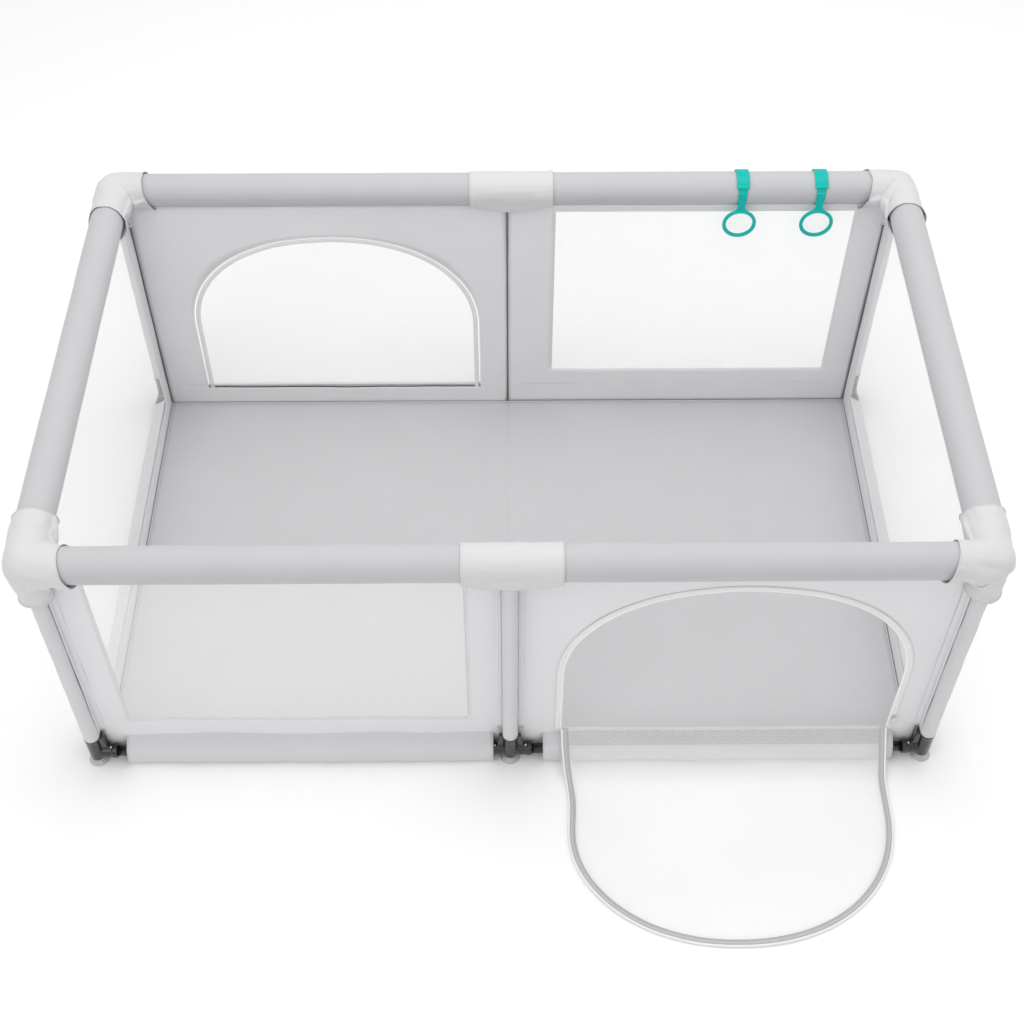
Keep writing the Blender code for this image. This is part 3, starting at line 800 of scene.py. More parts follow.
class PLAYPEN_OT_netting(bpy.types.Operator):
    """Fill the windows and the closed back doorway with netting"""

    bl_idname = "playpen.netting"
    bl_label = "Netting"

    def execute(self, context):
        for wall, name, left, right, inner in panels():
            if name == "front_right":
                continue
            door = name == "back_left"
            sides = inner
            if door:
                left, right, low, high, spring = arch_of("back")
                sides = arch_sides(left + 0.004, right - 0.004, low + 0.004, high - 0.004, spring)
            rows = coons(sides, 60, 44)
            made = sheet_piece(
                f"netting_{name}", [on_wall(wall, row, -0.0004) for row in rows], netting(),
                "back_door" if door else "frame",
                uvs=lambda i, j, rows=rows: rows[i][j],
            )
            if door:
                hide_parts("back_door_flap")
            loop = loop_of(sides)
            left, right, low, high = extent(loop)
        return {"FINISHED"}


# ---------------------------------------------------------------- hems, sleeves and floor


HEM_CORNER = 0.068  # from a corner post's axis to a hem's end
HEM_BEFORE_TEE, HEM_AFTER_TEE = 0.036, 0.069  # the same on the two sides of a middle post


def hem_runs():
    """Each hem loop's wall, name, start and end."""
    return (
        ("front", "front_left", HEM_CORNER, HALF_X - HEM_BEFORE_TEE),
        ("front", "front_right", HALF_X + HEM_AFTER_TEE, LENGTH - HEM_CORNER),
        ("back", "back_right", HEM_CORNER, HALF_X - HEM_BEFORE_TEE),
        ("back", "back_left", HALF_X + HEM_AFTER_TEE, LENGTH - HEM_CORNER),
        ("left", "left", HEM_CORNER, DEPTH - HEM_CORNER),
        ("right", "right", HEM_CORNER, DEPTH - HEM_CORNER),
    )


HEM_STEP = 0.008
HEM_SECTION = (  # distance inwards from the posts' axes, and height
    (0.0190, 0.0700), (0.0125, 0.0625), (0.0020, 0.0560), (-0.0080, 0.0495), (-0.0145, 0.0400),
    (-0.0175, 0.0290), (-0.0185, 0.0180), (-0.0170, 0.0085), (-0.0110, 0.0032), (-0.0010, 0.0022),
    (0.0090, 0.0026), (0.0158, 0.0040),
)


def smooth_path(points, rounds=2):
    """Rounds an open path's corners by cutting them."""
    for _ in range(rounds):
        cut = [points[0]]
        for a, b in zip(points, points[1:]):
            cut.append(tuple(0.75 * p + 0.25 * q for p, q in zip(a, b)))
            cut.append(tuple(0.25 * p + 0.75 * q for p, q in zip(a, b)))
        points = cut + [points[-1]]
    return points


class PLAYPEN_OT_hems(bpy.types.Operator):
    """Make the loose cloth loops that hold the base tubes"""

    bl_idname = "playpen.hems"
    bl_label = "Hems"

    def execute(self, context):
        section = smooth_path(HEM_SECTION, 1)
        for index, (wall, name, start, end) in enumerate(hem_runs()):
            steps = int((end - start) / HEM_STEP)
            rows = []
            for y, z in section:
                row = []
                for i in range(steps + 1):
                    u = start + (end - start) * i / steps
                    free = min(1, max(0, (0.064 - z) / 0.03))
                    wave = smooth_noise((u, z, 0), 11.0, index * 4.0)
                    ripple = smooth_noise((u, z, 0), 38.0, index * 4.0 + 2)
                    swell = free * (0.0022 * wave + 0.0008 * ripple)
                    low = max(0.0012, z + free * 0.0012 * wave)
                    row.append(wall_point(wall, u, y - swell if y < 0.012 else y, low))
                rows.append(row)
            made = sheet_piece(f"hem_{name}", rows, sleeve_cloth(), thickness=sizes().cloth)
            edge_rows = [[row[k] for row in rows] for k in (0, -1)]
            tube_piece(f"hem_edge_{name}", edge_rows, 0.0009, sleeve_cloth(), sides=6)
        return {"FINISHED"}


def post_list():
    """Each post's name and place."""
    names = ("front_left", "front_centre", "front_right", "back_left", "back_centre", "back_right")
    return [(name, middle(f"post_{name}")) for name in names]


SLEEVE_LOW, SLEEVE_HIGH = 0.0865, RAIL_Z - 0.045
SLEEVE_R = POST_R + 0.0022
WEB_WIDTH = 0.024


class PLAYPEN_OT_sleeves(bpy.types.Operator):
    """Make the cloth sleeves of the posts, with a sewn web to each wall"""

    bl_idname = "playpen.sleeves"
    bl_label = "Sleeves"

    def execute(self, context):
        sides, steps = 32, 70
        low, high = SLEEVE_LOW, SLEEVE_HIGH
        for index, (name, post) in enumerate(post_list()):
            inward = -1 if post.y > 0 else 1
            rows = []
            for i in range(steps + 1):
                z = low + (high - low) * i / steps
                row = []
                for k in range(sides):
                    angle = 2 * math.pi * k / sides
                    way = Vector((math.cos(angle), math.sin(angle), 0))
                    fold = smooth_noise((way.x * 0.8, way.y * 0.8, z * 14), 1.3, index * 7.0)
                    flare = 0.0010 * math.exp(-(z - low) / 0.02)
                    radius = SLEEVE_R + 0.0011 * fold + flare
                    if way.y * inward > 0.75:
                        radius = min(radius, PANEL_Y - 0.0012)
                    row.append(Vector((post.x, post.y, z)) + way * radius)
                rows.append(row)
            made = sheet_piece(
                f"post_sleeve_{name}", rows, sleeve_cloth(), thickness=sizes().cloth, close=True
            )
            self.webs(name, post, inward)
        return {"FINISHED"}

    def webs(self, name, post, inward):
        """The cloth webs that join a sleeve to its walls, each with a raised seam."""
        across = [X, -X] if "centre" in name else [X * (-1 if post.x > 0 else 1)]
        spots = [(way, Y * inward) for way in across]
        if "centre" not in name:
            spots.append((Y * inward, across[0]))
        foot = Vector((post.x, post.y, 0))
        low, high = SLEEVE_LOW, SLEEVE_HIGH
        for index, (way, back) in enumerate(spots):
            rows, line = [], []
            for i in range(41):
                z = low + (high - low) * i / 40
                sag = 0.0007 * smooth_noise((post.x, post.y, z), 12.0, index * 3.0)
                at = back * (PANEL_Y - 0.0016 - sag) + Z * z
                rows.append([foot + way * (0.004 + WEB_WIDTH * k / 6) + at for k in range(7)])
                line.append(foot + way * 0.0175 + back * (PANEL_Y - 0.0022 - sag) + Z * z)
            web = sheet_piece(f"sleeve_web_{name}_{index}", rows, wall_cloth(), thickness=sizes().cloth)
            tube_piece(f"sleeve_seam_{name}_{index}", [line], 0.0010, wall_cloth(), sides=6)


class PLAYPEN_OT_floor(bpy.types.Operator):
    """Make the floor sheet with its middle seam and its raised edge"""

    bl_idname = "playpen.floor"
    bl_label = "Floor"

    def execute(self, context):
        _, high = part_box("floor_sheet")
        across, up = 150, 90
        half_x, half_y = high.x + 0.0008, high.y + 0.0008
        rows = []
        for j in range(up + 1):
            y = -half_y + 2 * half_y * j / up
            row = []
            for i in range(across + 1):
                x = -half_x + 2 * half_x * i / across
                edge = min(half_x - abs(x), half_y - abs(y))
                ease = min(1, edge / 0.05)
                swell = 0.0011 * smooth_noise((x, y, 0), 5.0, 2.0) + 0.0005 * smooth_noise((x, y, 0), 16.0)
                tuck = -0.0012 * math.exp(-(x / 0.006) ** 2)
                rise = 0.0035 * max(0, 1 - edge / 0.012) ** 2
                row.append(Vector((x, y, 0.0034 + ease * (swell + 0.0006) + tuck + rise)))
            rows.append(row)
        made = sheet_piece("floor_cloth_sheet", rows, floor_cloth(), "frame", 0.0012)
        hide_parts("floor_sheet")
        seams = [
            [Vector((x, -half_y + 0.01 + (2 * half_y - 0.02) * i / 60, 0.0046)) for i in range(61)]
            for x in (-0.0042, 0.0042)
        ]
        stitches("floor_seam_stitches", seams, "frame")
        edge = window_sides(-half_x, half_x, -half_y, half_y)
        rim = [Vector((x, y, 0.0068)) for x, y in loop_of(edge)]
        tube_piece("floor_edge_cord", [rim], 0.0017, floor_cloth(), "frame", 8, True)
        return {"FINISHED"}


# ---------------------------------------------------------------- rails and covers


def rail_runs():
    """Each padded rail's name, start, end and the direction that faces inwards."""
    runs = []
    for name in ("front_left", "front_right", "back_left", "back_right", "left", "right"):
        low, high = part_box(f"rail_foam_{name}")
        centre = (low + high) / 2
        if high.x - low.x > high.y - low.y:
            inward = Vector((0, -1 if centre.y > 0 else 1, 0))
            ends = [Vector((x, centre.y, centre.z)) for x in (low.x, high.x)]
        else:
            inward = Vector((-1 if centre.x > 0 else 1, 0, 0))
            ends = [Vector((centre.x, y, centre.z)) for y in (low.y, high.y)]
        runs.append((name, *ends, inward))
    return runs


RAIL_SEAM = math.radians(303)  # where the wall is sewn on, from the inner side over the top


class PLAYPEN_OT_rails(bpy.types.Operator):
    """Make the padded rails: a cloth skin over foam, with the seam that holds the wall"""

    bl_idname = "playpen.rails"
    bl_label = "Rails"

    def execute(self, context):
        sides = 56
        for index, (name, start, end, inward) in enumerate(rail_runs()):
            along = (end - start).normalized()
            length = (end - start).length
            steps = int(length / 0.010)
            rows = []
            for i in range(steps + 1):
                t = i / steps
                centre = start + (end - start) * t
                row = []
                for k in range(sides):
                    angle = 2 * math.pi * k / sides
                    way = inward * math.cos(angle) + Z * math.sin(angle)
                    place = (t * length, angle * 0.04, index * 0.7)
                    dent = smooth_noise(place, 7.0, 1.0) * 0.00055 + smooth_noise(place, 24.0, 6.0) * 0.00022
                    seam = 0.0022 * math.exp(-(((angle - RAIL_SEAM) / 0.09) ** 2))
                    row.append(centre + way * (FOAM_R + 0.0004 + dent - seam))
                rows.append(row)
            bm = bmesh.new()
            layer = bm.loops.layers.uv.new("cloth")
            uvs = lambda i, j, n=steps, l=length: (2 * math.pi * FOAM_R * j / sides, l * i / n)
            made = grid(bm, rows, uvs, True, layer)
            bm.faces.new(list(reversed(made[0])))
            bm.faces.new(made[-1])
            skin = finish_piece(from_bmesh(f"rail_skin_{name}", bm), rail_cloth(), "frame")
            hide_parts(f"rail_foam_{name}")
            way = inward * math.cos(RAIL_SEAM) + Z * math.sin(RAIL_SEAM)
            seam_line = [start + (end - start) * (i / 60) + way * (FOAM_R + 0.0002) for i in range(61)]
            tube_piece(f"rail_seam_{name}", [seam_line], 0.0012, rail_cloth(), "frame", 6)
            side = way.cross(along)
            lines = [[p + side * offset + way * 0.0004 for p in seam_line] for offset in (-0.0045, 0.0045)]
            stitches(f"rail_stitches_{name}", lines, "frame")
        return {"FINISHED"}


COVER_R = 0.0374
COVER_VOXEL = 0.0034
COVER_WAIST = 0.0034  # how much narrower a corner cover is at its middle
COVER_DOWN = (0.0325, 0.0262)  # radii of the leg round the post, at the top and at the foot
COVER_LIFT = 0.018  # how far that leg ends above the frame's own cover
COVER_CUT_LEAN = 0.26  # how far a rail leg's end leans back from its foot
CAD_COVER_REACH = 0.040  # how far the frame's own cover stands out past the posts' axes
FOLD_BROAD, FOLD_SMALL, FOLD_FLARE = 0.0190, 0.0040, 0.0042
BROAD_SCALE, SMALL_SCALE = 19, 47
FOLD_REACH = 0.055  # how far from the elbow the folds stay deep
FLARE_REACH = 0.012
CLOTH_GROWTH = 0.05
MOVE_OUT, MOVE_IN = 0.0040, 0.0012  # the most that cloth simulation may move a point


def largest_part_complement(bm):
    """Every vertex that isn't in the mesh's largest connected part."""
    left, parts = set(bm.verts), []
    while left:
        stack, part = [left.pop()], set()
        while stack:
            vertex = stack.pop()
            part.add(vertex)
            for edge in vertex.link_edges:
                other = edge.other_vert(vertex)
                if other in left:
                    left.discard(other)
                    stack.append(other)
        parts.append(part)
    parts.sort(key=len)
    return [vertex for part in parts[:-1] for vertex in part]


def open_tubes(name, centre, legs):
    """A fused, open-ended skin over round legs, each (direction, length, radius, end radius)."""
    shapes = []
    for way, length, radius, end_radius in legs:
        shapes.append(rod(centre - way * 0.004, centre + way * (length + 0.012), radius, 36, end_radius))
    ball = bmesh.new()
    bmesh.ops.create_uvsphere(ball, u_segments=32, v_segments=20, radius=COVER_R - 0.0036,
                              matrix=Matrix.Translation(centre))
    made = fused(name, shapes + [ball], COVER_VOXEL)
    bm = bmesh.new()
    bm.from_mesh(made.data)
    for way, length, _, _ in legs:
        geometry = bm.verts[:] + bm.edges[:] + bm.faces[:]
        uneven = Vector((noise.noise(centre * 9 + way * 5), noise.noise(centre * 7 - way * 3), 0))
        lean = COVER_CUT_LEAN if way.z == 0 else 0.0
        cut = (way + uneven * 0.3 + Z * lean).normalized()
        bmesh.ops.bisect_plane(
            bm, geom=geometry, plane_co=centre + way * (length - 0.001), plane_no=cut, clear_outer=True
        )
    bmesh.ops.remove_doubles(bm, verts=bm.verts, dist=0.0011)
    loose = largest_part_complement(bm)
    bmesh.ops.delete(bm, geom=loose, context="VERTS")
    bm.to_mesh(made.data)
    bm.free()
    return made


def nearest_leg(point, centre, legs):
    """The way out from the axis of the leg nearest to the point, and that leg's own direction."""
    best = None
    for way, length, _, _ in legs:
        along = max(0.0, min(length, (point - centre).dot(way)))
        off = point - (centre + way * along)
        if best is None or off.length < best[0]:
            best = (off.length, off.normalized() if off.length else Z, way)
    return best[1:]


def fold_cloth(made, centre, legs, seed):
    """Pushes soft folds out of the skin: deep round the elbow, and flaring at the open ends."""
    for vertex in made.data.vertices:
        point = vertex.co.copy()
        out, way = nearest_leg(point, centre, legs)
        from_centre = point - centre
        along = from_centre.dot(way)
        length = next(leg[1] for leg in legs if leg[0] is way)
        away = -(legs[0][0] + legs[1][0]).normalized()
        calm = 1 - 0.62 * max(0.0, out.dot(away)) - 0.35 * max(0.0, out.z)
        squeezed = from_centre - way * along * 0.35
        warp = Vector((smooth_noise(squeezed, 14.0, seed), smooth_noise(squeezed, 14.0, seed + 5), 0)) * 0.02
        broad = abs(noise.noise((squeezed + warp) * BROAD_SCALE + Vector((seed, 0, 0))))
        small = abs(noise.noise((squeezed + warp) * SMALL_SCALE + Vector((0, seed, 0))))
        elbow = calm * (0.45 + 0.85 * math.exp(-((along / FOLD_REACH) ** 2)))
        flare = math.exp(-max(0.0, length - along) / FLARE_REACH)
        lobes = 0.5 + 0.5 * smooth_noise(from_centre - way * along, 30.0, seed)
        rise = elbow * (FOLD_BROAD * broad + FOLD_SMALL * small) + FOLD_FLARE * flare * lobes
        vertex.co = point + out * rise


def crumple(made, centre, legs, seed):
    """Lets the skin grow a little under cloth simulation, so that it wrinkles, and caps its moves."""
    rest = [v.co.copy() for v in made.data.vertices]
    group = made.vertex_groups.new(name="held")
    for vertex in made.data.vertices:
        at_end = any(abs((vertex.co - centre).dot(way) - length) < 0.004 and (vertex.co - centre).dot(way) > 0
                     for way, length, _, _ in legs)
        if at_end:
            group.add([vertex.index], 0.85, "REPLACE")
    cloth = made.modifiers.new("cloth", "CLOTH")
    cloth.settings.quality = 4
    cloth.settings.mass = 0.2
    cloth.settings.tension_stiffness = 12
    cloth.settings.compression_stiffness = 12
    cloth.settings.shear_stiffness = 4
    cloth.settings.bending_stiffness = 0.12
    cloth.settings.shrink_min = -CLOTH_GROWTH
    cloth.settings.vertex_group_mass = "held"
    cloth.settings.effector_weights.gravity = 0.15
    cloth.collision_settings.use_collision = False
    cloth.point_cache.frame_start = 1
    cloth.point_cache.frame_end = sizes().cloth_frames
    for step in range(1, sizes().cloth_frames + 1):
        bpy.context.scene.frame_set(step)
    baked(made)
    bpy.context.scene.frame_set(1)
    for vertex, before in zip(made.data.vertices, rest):
        out, _ = nearest_leg(before, centre, legs)
        move = vertex.co - before
        extra = 0.0012 * smooth_noise(before, 55.0, seed)
        radial = move.dot(out) + extra
        slide = move - out * move.dot(out)
        if slide.length > MOVE_OUT:
            slide *= MOVE_OUT / slide.length
        vertex.co = before + slide * 0.6 + out * max(-MOVE_IN, min(MOVE_OUT, radial))
    made.vertex_groups.clear()
    return made


def boundary_loops(mesh):
    """The open edges of a mesh as closed loops of points."""
    bm = bmesh.new()
    bm.from_mesh(mesh)
    left = dict.fromkeys(e for e in bm.edges if e.is_boundary)  # in order, so that each run is the same
    loops = []
    while left:
        edge = left.popitem()[0]
        first, at = edge.verts
        loop = [first.co.copy()]
        while at != first:
            loop.append(at.co.copy())
            edge = next((e for e in at.link_edges if e in left), None)
            if edge is None:
                break
            del left[edge]
            at = edge.other_vert(at)
        if len(loop) > 8:
            loops.append(loop)
    bm.free()
    return loops


def even_loop(loop, count):
    """A closed loop resampled evenly and smoothed a little."""
    closed = [tuple(p) for p in loop] + [tuple(loop[0])]
    points = [Vector(p) for p in resample(closed, count + 1)[:-1]]
    for _ in range(3):
        points = [(points[i - 1] + points[i] * 2 + points[(i + 1) % count]) / 4 for i in range(count)]
    return points


def planar_uv(mesh):
    """A UV map in metres, from the two directions that each face lies along most."""
    layer = mesh.uv_layers.get("cloth") or mesh.uv_layers.new(name="cloth")
    for face in mesh.polygons:
        normal = face.normal
        flat = max(range(3), key=lambda k: abs(normal[k]))
        a, b = [k for k in range(3) if k != flat]
        for corner in face.loop_indices:
            co = mesh.vertices[mesh.loops[corner].vertex_index].co
            layer.data[corner].uv = (co[a], co[b])


class PLAYPEN_OT_corner_covers(bpy.types.Operator):
    """Make the loose corner covers: shaped folds, settled by a short cloth simulation, and bound ends"""

    bl_idname = "playpen.corner_covers"
    bl_label = "Corner Covers"

    def execute(self, context):
        for index, (name, (sx, sy)) in enumerate(CORNERS.items()):
            centre = Vector((sx * HALF_X, sy * HALF_Y, RAIL_Z))
            low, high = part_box(f"corner_cover_{name}")
            long_leg = high.x - low.x - CAD_COVER_REACH
            short_leg = high.y - low.y - CAD_COVER_REACH
            legs = (
                (X * -sx, long_leg, COVER_R - COVER_WAIST, COVER_R + 0.0010),
                (Y * -sy, short_leg, COVER_R - COVER_WAIST, COVER_R + 0.0010),
                (-Z, RAIL_Z - COVER_LOW - COVER_LIFT, *COVER_DOWN),
            )
            made = open_tubes(f"corner_cover_cloth_{name}", centre, legs)
            fold_cloth(made, centre, legs, index * 3.0 + 1)
            crumple(made, centre, legs, index * 3.0)
            loops = [even_loop(loop, 90) for loop in boundary_loops(made.data)]
            fine = made.modifiers.new("fine", "SUBSURF")
            fine.levels = fine.render_levels = 1
            baked(made)
            planar_uv(made.data)
            finish_piece(made, cover_cloth(), "frame")
            thicken(made, sizes().cloth, -1.0, even=False)
            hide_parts(f"corner_cover_{name}")
            hem = f"corner_cover_hem_{name}"
            tube_piece(hem, loops, 0.0012, cover_cloth(), closed=True)
        return {"FINISHED"}


CENTRE_COVER_SPANS = {"front": (-0.087, 0.096), "back": (-0.082, 0.100)}
WRAP_FIRST, WRAP_LAST = math.radians(-12.5), math.radians(192.5)


class PLAYPEN_OT_centre_covers(bpy.types.Operator):
    """Make the covers over the middle of the long rails, which hang down over the posts"""

    bl_idname = "playpen.centre_covers"
    bl_label = "Centre Covers"

    def execute(self, context):
        for name, side in (("front", -1), ("back", 1)):
            left, right = CENTRE_COVER_SPANS[name]
            columns, total = 56, 68
            rows = []
            for j in range(total + 1):
                row = []
                for i in range(columns + 1):
                    x = left + (right - left) * i / columns
                    row.append(self.point(x, j / total, side, left, right))
                rows.append(row)
            made = sheet_piece(
                f"centre_cover_cloth_{name}", rows, cover_cloth(), "frame", sizes().cloth
            )
            back = rows[::-1]
            rim = [rows[0], [row[-1] for row in rows], back[0][::-1], [row[0] for row in back]]
            edge = [p for part in rim for p in part[:-1]]
            hem = f"centre_cover_hem_{name}"
            tube_piece(hem, [edge], 0.0010, cover_cloth(), sides=6, closed=True)
            lifted = [[self.lift(row[k], side, 0.0009) for row in rows] for k in (2, -3)]
            stitches(f"centre_cover_stitches_{name}", lifted, "frame")
        return {"FINISHED"}

    def lift(self, point, side, out):
        away = point - Vector((point.x, side * HALF_Y, RAIL_Z))
        return point + away.normalized() * out

    def point(self, x, t, side, left, right):
        """t goes from the inner lower edge over the rail to the outer lower edge."""
        radius = FOAM_R + 0.0022 + 0.0006 * smooth_noise((x, t, 0), 22.0, side)
        middle_x = (x - left) / (right - left) * 2 - 1
        droop = 0.020 * (1 - middle_x**2)
        lip = 0.014 + droop
        length = radius * math.radians(205)
        s = t * (length + 2 * lip) - lip
        angle, down = WRAP_FIRST + s / radius, Vector()
        if s < 0:
            angle, down = WRAP_FIRST, Vector((0, -0.22, -1)).normalized() * -s
        elif s > length:
            angle, down = WRAP_LAST, Vector((0, 0.22, -1)).normalized() * (s - length)
        _, y, z = Vector((0, math.cos(angle), math.sin(angle))) * radius + down
        wave = 0.0030 * abs(smooth_noise((x, z * 0.5, side), 24.0, 4.0))
        return Vector((x, side * HALF_Y + y + (wave if y > 0 else -wave), RAIL_Z + z))


# ---------------------------------------------------------------- doors


FLAP_INSET = 0.0035  # between the open door's edge and the doorway's, once it is closed
APRON_FOOT = -0.5814
FOLD_BEND = 0.016  # how far from the fold the cloth begins to bend
STRIP_SHARE = 0.965  # the sill strip's width over the door's


def flap_place(x_share, s):
    """A point of the open front door: s from the sill, down the apron and over the ground."""
    hinge = Vector((0, HINGE_Y + 0.001, SILL_Z + 0.0006))
    fold = Vector((0, (FOLD_Y + APRON_FOOT) / 2, 0.0030))
    apron = (fold - hinge).length
    left, right, sill, crown, spring = arch_of("front")
    half, mid = (right - left) / 2 - FLAP_INSET, (left + right) / 2
    z = sill + s
    if z > spring:
        lift = min(1.0, (z - spring) / (crown - FLAP_INSET - spring))
        half *= max(0.0, 1 - lift**ARCH_POWER) ** (1 / ARCH_POWER)
    gather = 0.014 * math.exp(-(((s - 0.17) / 0.09) ** 2)) * max(0.0, -x_share)
    x = mid - HALF_X + x_share * half + gather
    if s < apron:
        point = hinge + (fold - hinge) * (s / apron)
    else:
        point = fold - Y * (s - apron)
    if abs(s - apron) < FOLD_BEND:
        t = (s - apron + FOLD_BEND) / (2 * FOLD_BEND)
        before, after = hinge + (fold - hinge) * ((apron - FOLD_BEND) / apron), fold - Y * FOLD_BEND
        point = before * (1 - t) ** 2 + fold * (2 * t * (1 - t)) + after * t**2
    ease = min(1, max(0, (s - 0.02) / 0.05))
    wave = 0.0013 * smooth_noise((x, s, 0), 9.0, 3.0) + 0.0007 * smooth_noise((x, s, 0), 26.0, 8.0)
    return Vector((x, point.y, max(0.0016, point.z + ease * (wave + 0.0008))))


def flap_size():
    """The flat width and height of the open door."""
    left, right, sill, crown, _ = arch_of("front")
    return right - left, crown - FLAP_INSET - sill


def flap_edge(offset=0.0, lift=0.0):
    """The open door's edge from its left foot over the crown to its right foot."""
    count = 200
    tall = flap_size()[1]
    steps = []
    for i in range(count + 1):
        angle = math.pi * i / count
        s = tall * math.sin(angle) ** 0.9
        steps.append((-1 if i <= count / 2 else 1, s))
    points = [flap_place(side, min(s, tall - 1e-5)) for side, s in steps]
    path = even_path(points, count)
    centre = sum(path, Vector()) / len(path)
    result = []
    for i, p in enumerate(path):
        before, after = path[max(0, i - 1)], path[min(len(path) - 1, i + 1)]
        along = (after - before).normalized()
        side = along.cross(Z)
        if side.length < 1e-6:
            side = X
        side = side.normalized()
        if side.dot(centre - p) < 0:
            side = -side
        result.append(p + side * offset + Z * lift)
    return result


def even_path(points, count):
    return [Vector(p) for p in resample([tuple(p) for p in points], count + 1)]


def bend_door(made):
    """Bakes an open-door piece's placement into its mesh."""
    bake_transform(made)


class PLAYPEN_OT_front_door(bpy.types.Operator):
    """Make the open front door: netting, bound edge and its half of the zip"""

    bl_idname = "playpen.front_door"
    bl_label = "Front Door"

    def execute(self, context):
        width, tall = flap_size()
        across, up = 64, 90
        rows, spots = [], []
        for j in range(up + 1):
            s = tall * math.sin(math.pi / 2 * j / up) if j else 0.0
            s = min(s, tall * 0.99995)
            row = [flap_place(-1 + 2 * i / across, s) for i in range(across + 1)]
            rows.append(row)
            spots.append([(p.x, s) for p in row])
        made = sheet_piece("front_door_netting", rows, netting(), None,
                           uvs=lambda i, j: spots[i][j])
        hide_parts("front_door_apron", "front_door_flap")
        bend_door(made)
        above = Vector((0, -0.0012, 0.0008))
        shares = [STRIP_SHARE * (-1 + 2 * i / across) for i in range(across + 1)]
        strip_rows = [[flap_place(share, 0.002 + 0.004 * j) + above for share in shares] for j in range(9)]
        coarse = netting_material("netting_coarse", (0.58, 0.58, 0.59), sizes().net_pitch * 2.2, 0.36)
        strip = sheet_piece("front_door_sill_strip", strip_rows, coarse, "front_apron")
        inner, outer = flap_edge(0.0105, 0.0009), flap_edge(0.0, 0.0009)
        tape = sheet_piece("front_door_binding", [outer, inner], grey_tape(), None, 0.0011)
        bend_door(tape)
        for name, offset, radius, tape in (
            ("front_door_piping", -0.0012, 0.0019, white_tape()),
            ("front_door_inner_cord", 0.0108, 0.0009, grey_tape()),
        ):
            bend_door(tube_piece(name, [flap_edge(offset, 0.0008)], radius, tape, None))
        bend_door(stitches("front_door_stitches", [flap_edge(0.0045, 0.0019)], None))
        path = flap_edge(-0.0030, 0.0006)
        bend_door(zip_teeth("front_door_zip_teeth", path, 0.0022, 0.0014, None))
        return {"FINISHED"}


def arch_path(wall, grow, out):
    """A path round a doorway's edge, on the outside face of its wall."""
    left, right, low, high, spring = arch_of(wall)
    sides = arch_sides(left, right, low, high, spring, grow)
    pairs = [p for side in sides[1:] for p in side[:-1]] + [sides[3][-1]]
    return on_wall(wall, resample(pairs, 220), out)


class PLAYPEN_OT_doorways(bpy.types.Operator):
    """Make the piping, tape and zips round both doorways, and the back door's binding"""

    bl_idname = "playpen.doorways"
    bl_label = "Doorways"

    def execute(self, context):
        front, back = arch_path("front", 0.0010, 0.0010), arch_path("back", 0.0016, 0.0004)
        tube_piece("front_doorway_piping", [front], sizes().piping, white_tape(), sides=10)
        tube_piece("back_doorway_piping", [back], 0.0016, white_tape())
        for wall, tape in (("front", white_tape()), ("back", pale_tape())):
            rows = [arch_path(wall, grow, 0.0019) for grow in (0.0024, 0.0130)]
            sheet_piece(f"{wall}_doorway_tape", rows, tape, thickness=0.0008)
            stitches(f"{wall}_doorway_stitches", [arch_path(wall, 0.0115, 0.0027)])
            path = arch_path(wall, 0.0068, 0.0026)
            zip_teeth(f"{wall}_doorway_zip_teeth", path, 0.0034, 0.0016, "frame")
        rows = [arch_path("back", grow, 0.0008) for grow in (-0.0030, -0.0140)]
        sheet_piece("back_door_binding", rows, pale_tape(), "back_door", 0.0010)
        self.sill_seams()
        return {"FINISHED"}

    def sill_seams(self):
        for wall in ("front", "back"):
            left, right, low, _, _ = arch_of(wall)
            path = on_wall(wall, resample([(left, low - 0.003), (right, low - 0.003)], 60), 0.0016)
            tube_piece(f"{wall}_sill_seam", [path], 0.0014, wall_cloth())


class PLAYPEN_OT_seams(bpy.types.Operator):
    """Sew the windows: a raised seam round each, and a line of stitches beside it; and lay thin dark strips
    of painted shade in the gaps at the middle posts and inner corners
    """

    bl_idname = "playpen.seams"
    bl_label = "Seams"

    def execute(self, context):
        for wall, name, left, right, inner in panels():
            if name in ("front_right", "back_left"):
                continue
            loop = loop_of(inner)
            seam = on_wall(wall, loop, 0.0007)
            tube_piece(f"window_seam_{name}", [seam], 0.0011, wall_cloth(), sides=6, closed=True)
            left, right, low, high = extent(loop)
            wide = loop_of(window_sides(left - 0.006, right + 0.006, low - 0.006, high + 0.006))
            outside, inside = on_wall(wall, wide, 0.0012), on_wall(wall, wide, -0.0012)
            stitches(f"window_stitches_{name}", [outside, inside], closed=True)
        # Painted shade: a thin dark strip stands for the shadowed gap where the two panels of a long wall
        # meet at its middle post.
        for wall in ("front", "back"):
            path = [wall_point(wall, HALF_X, PANEL_Y + 0.0022, PANEL_LOW + (PANEL_HIGH - PANEL_LOW) * i / 30)
                    for i in range(31)]
            dark = moulded_material("painted_gap_shade", (0.16, 0.16, 0.165), 0.8)
            tube_piece(f"centre_gap_shade_{wall}", [path], 0.0014, dark, sides=6)
        # Painted shade: a thin dark strip stands for the shadow in each inner corner, where a long wall meets
        # a short one.
        for name, (sx, sy) in CORNERS.items():
            x, y = sx * (HALF_X - PANEL_Y - 0.0022), sy * (HALF_Y - PANEL_Y - 0.0022)
            path = [Vector((x, y, 0.012 + 0.58 * i / 30)) for i in range(31)]
            tube_piece(f"corner_gap_shade_{name}", [path], 0.0015, dark, sides=6)
        return {"FINISHED"}


# ---------------------------------------------------------------- hard parts


CONNECTOR_VOXEL = 0.00105
SOCKET_WALL, COLLAR_STEP, COLLAR_WIDE = 0.0028, 0.0013, 0.010
POST_SOCKET_WALL, POST_COLLAR_WALL, POST_COLLAR_TALL = 0.0029, 0.0038, 0.006
EAR_HALF = 0.0042


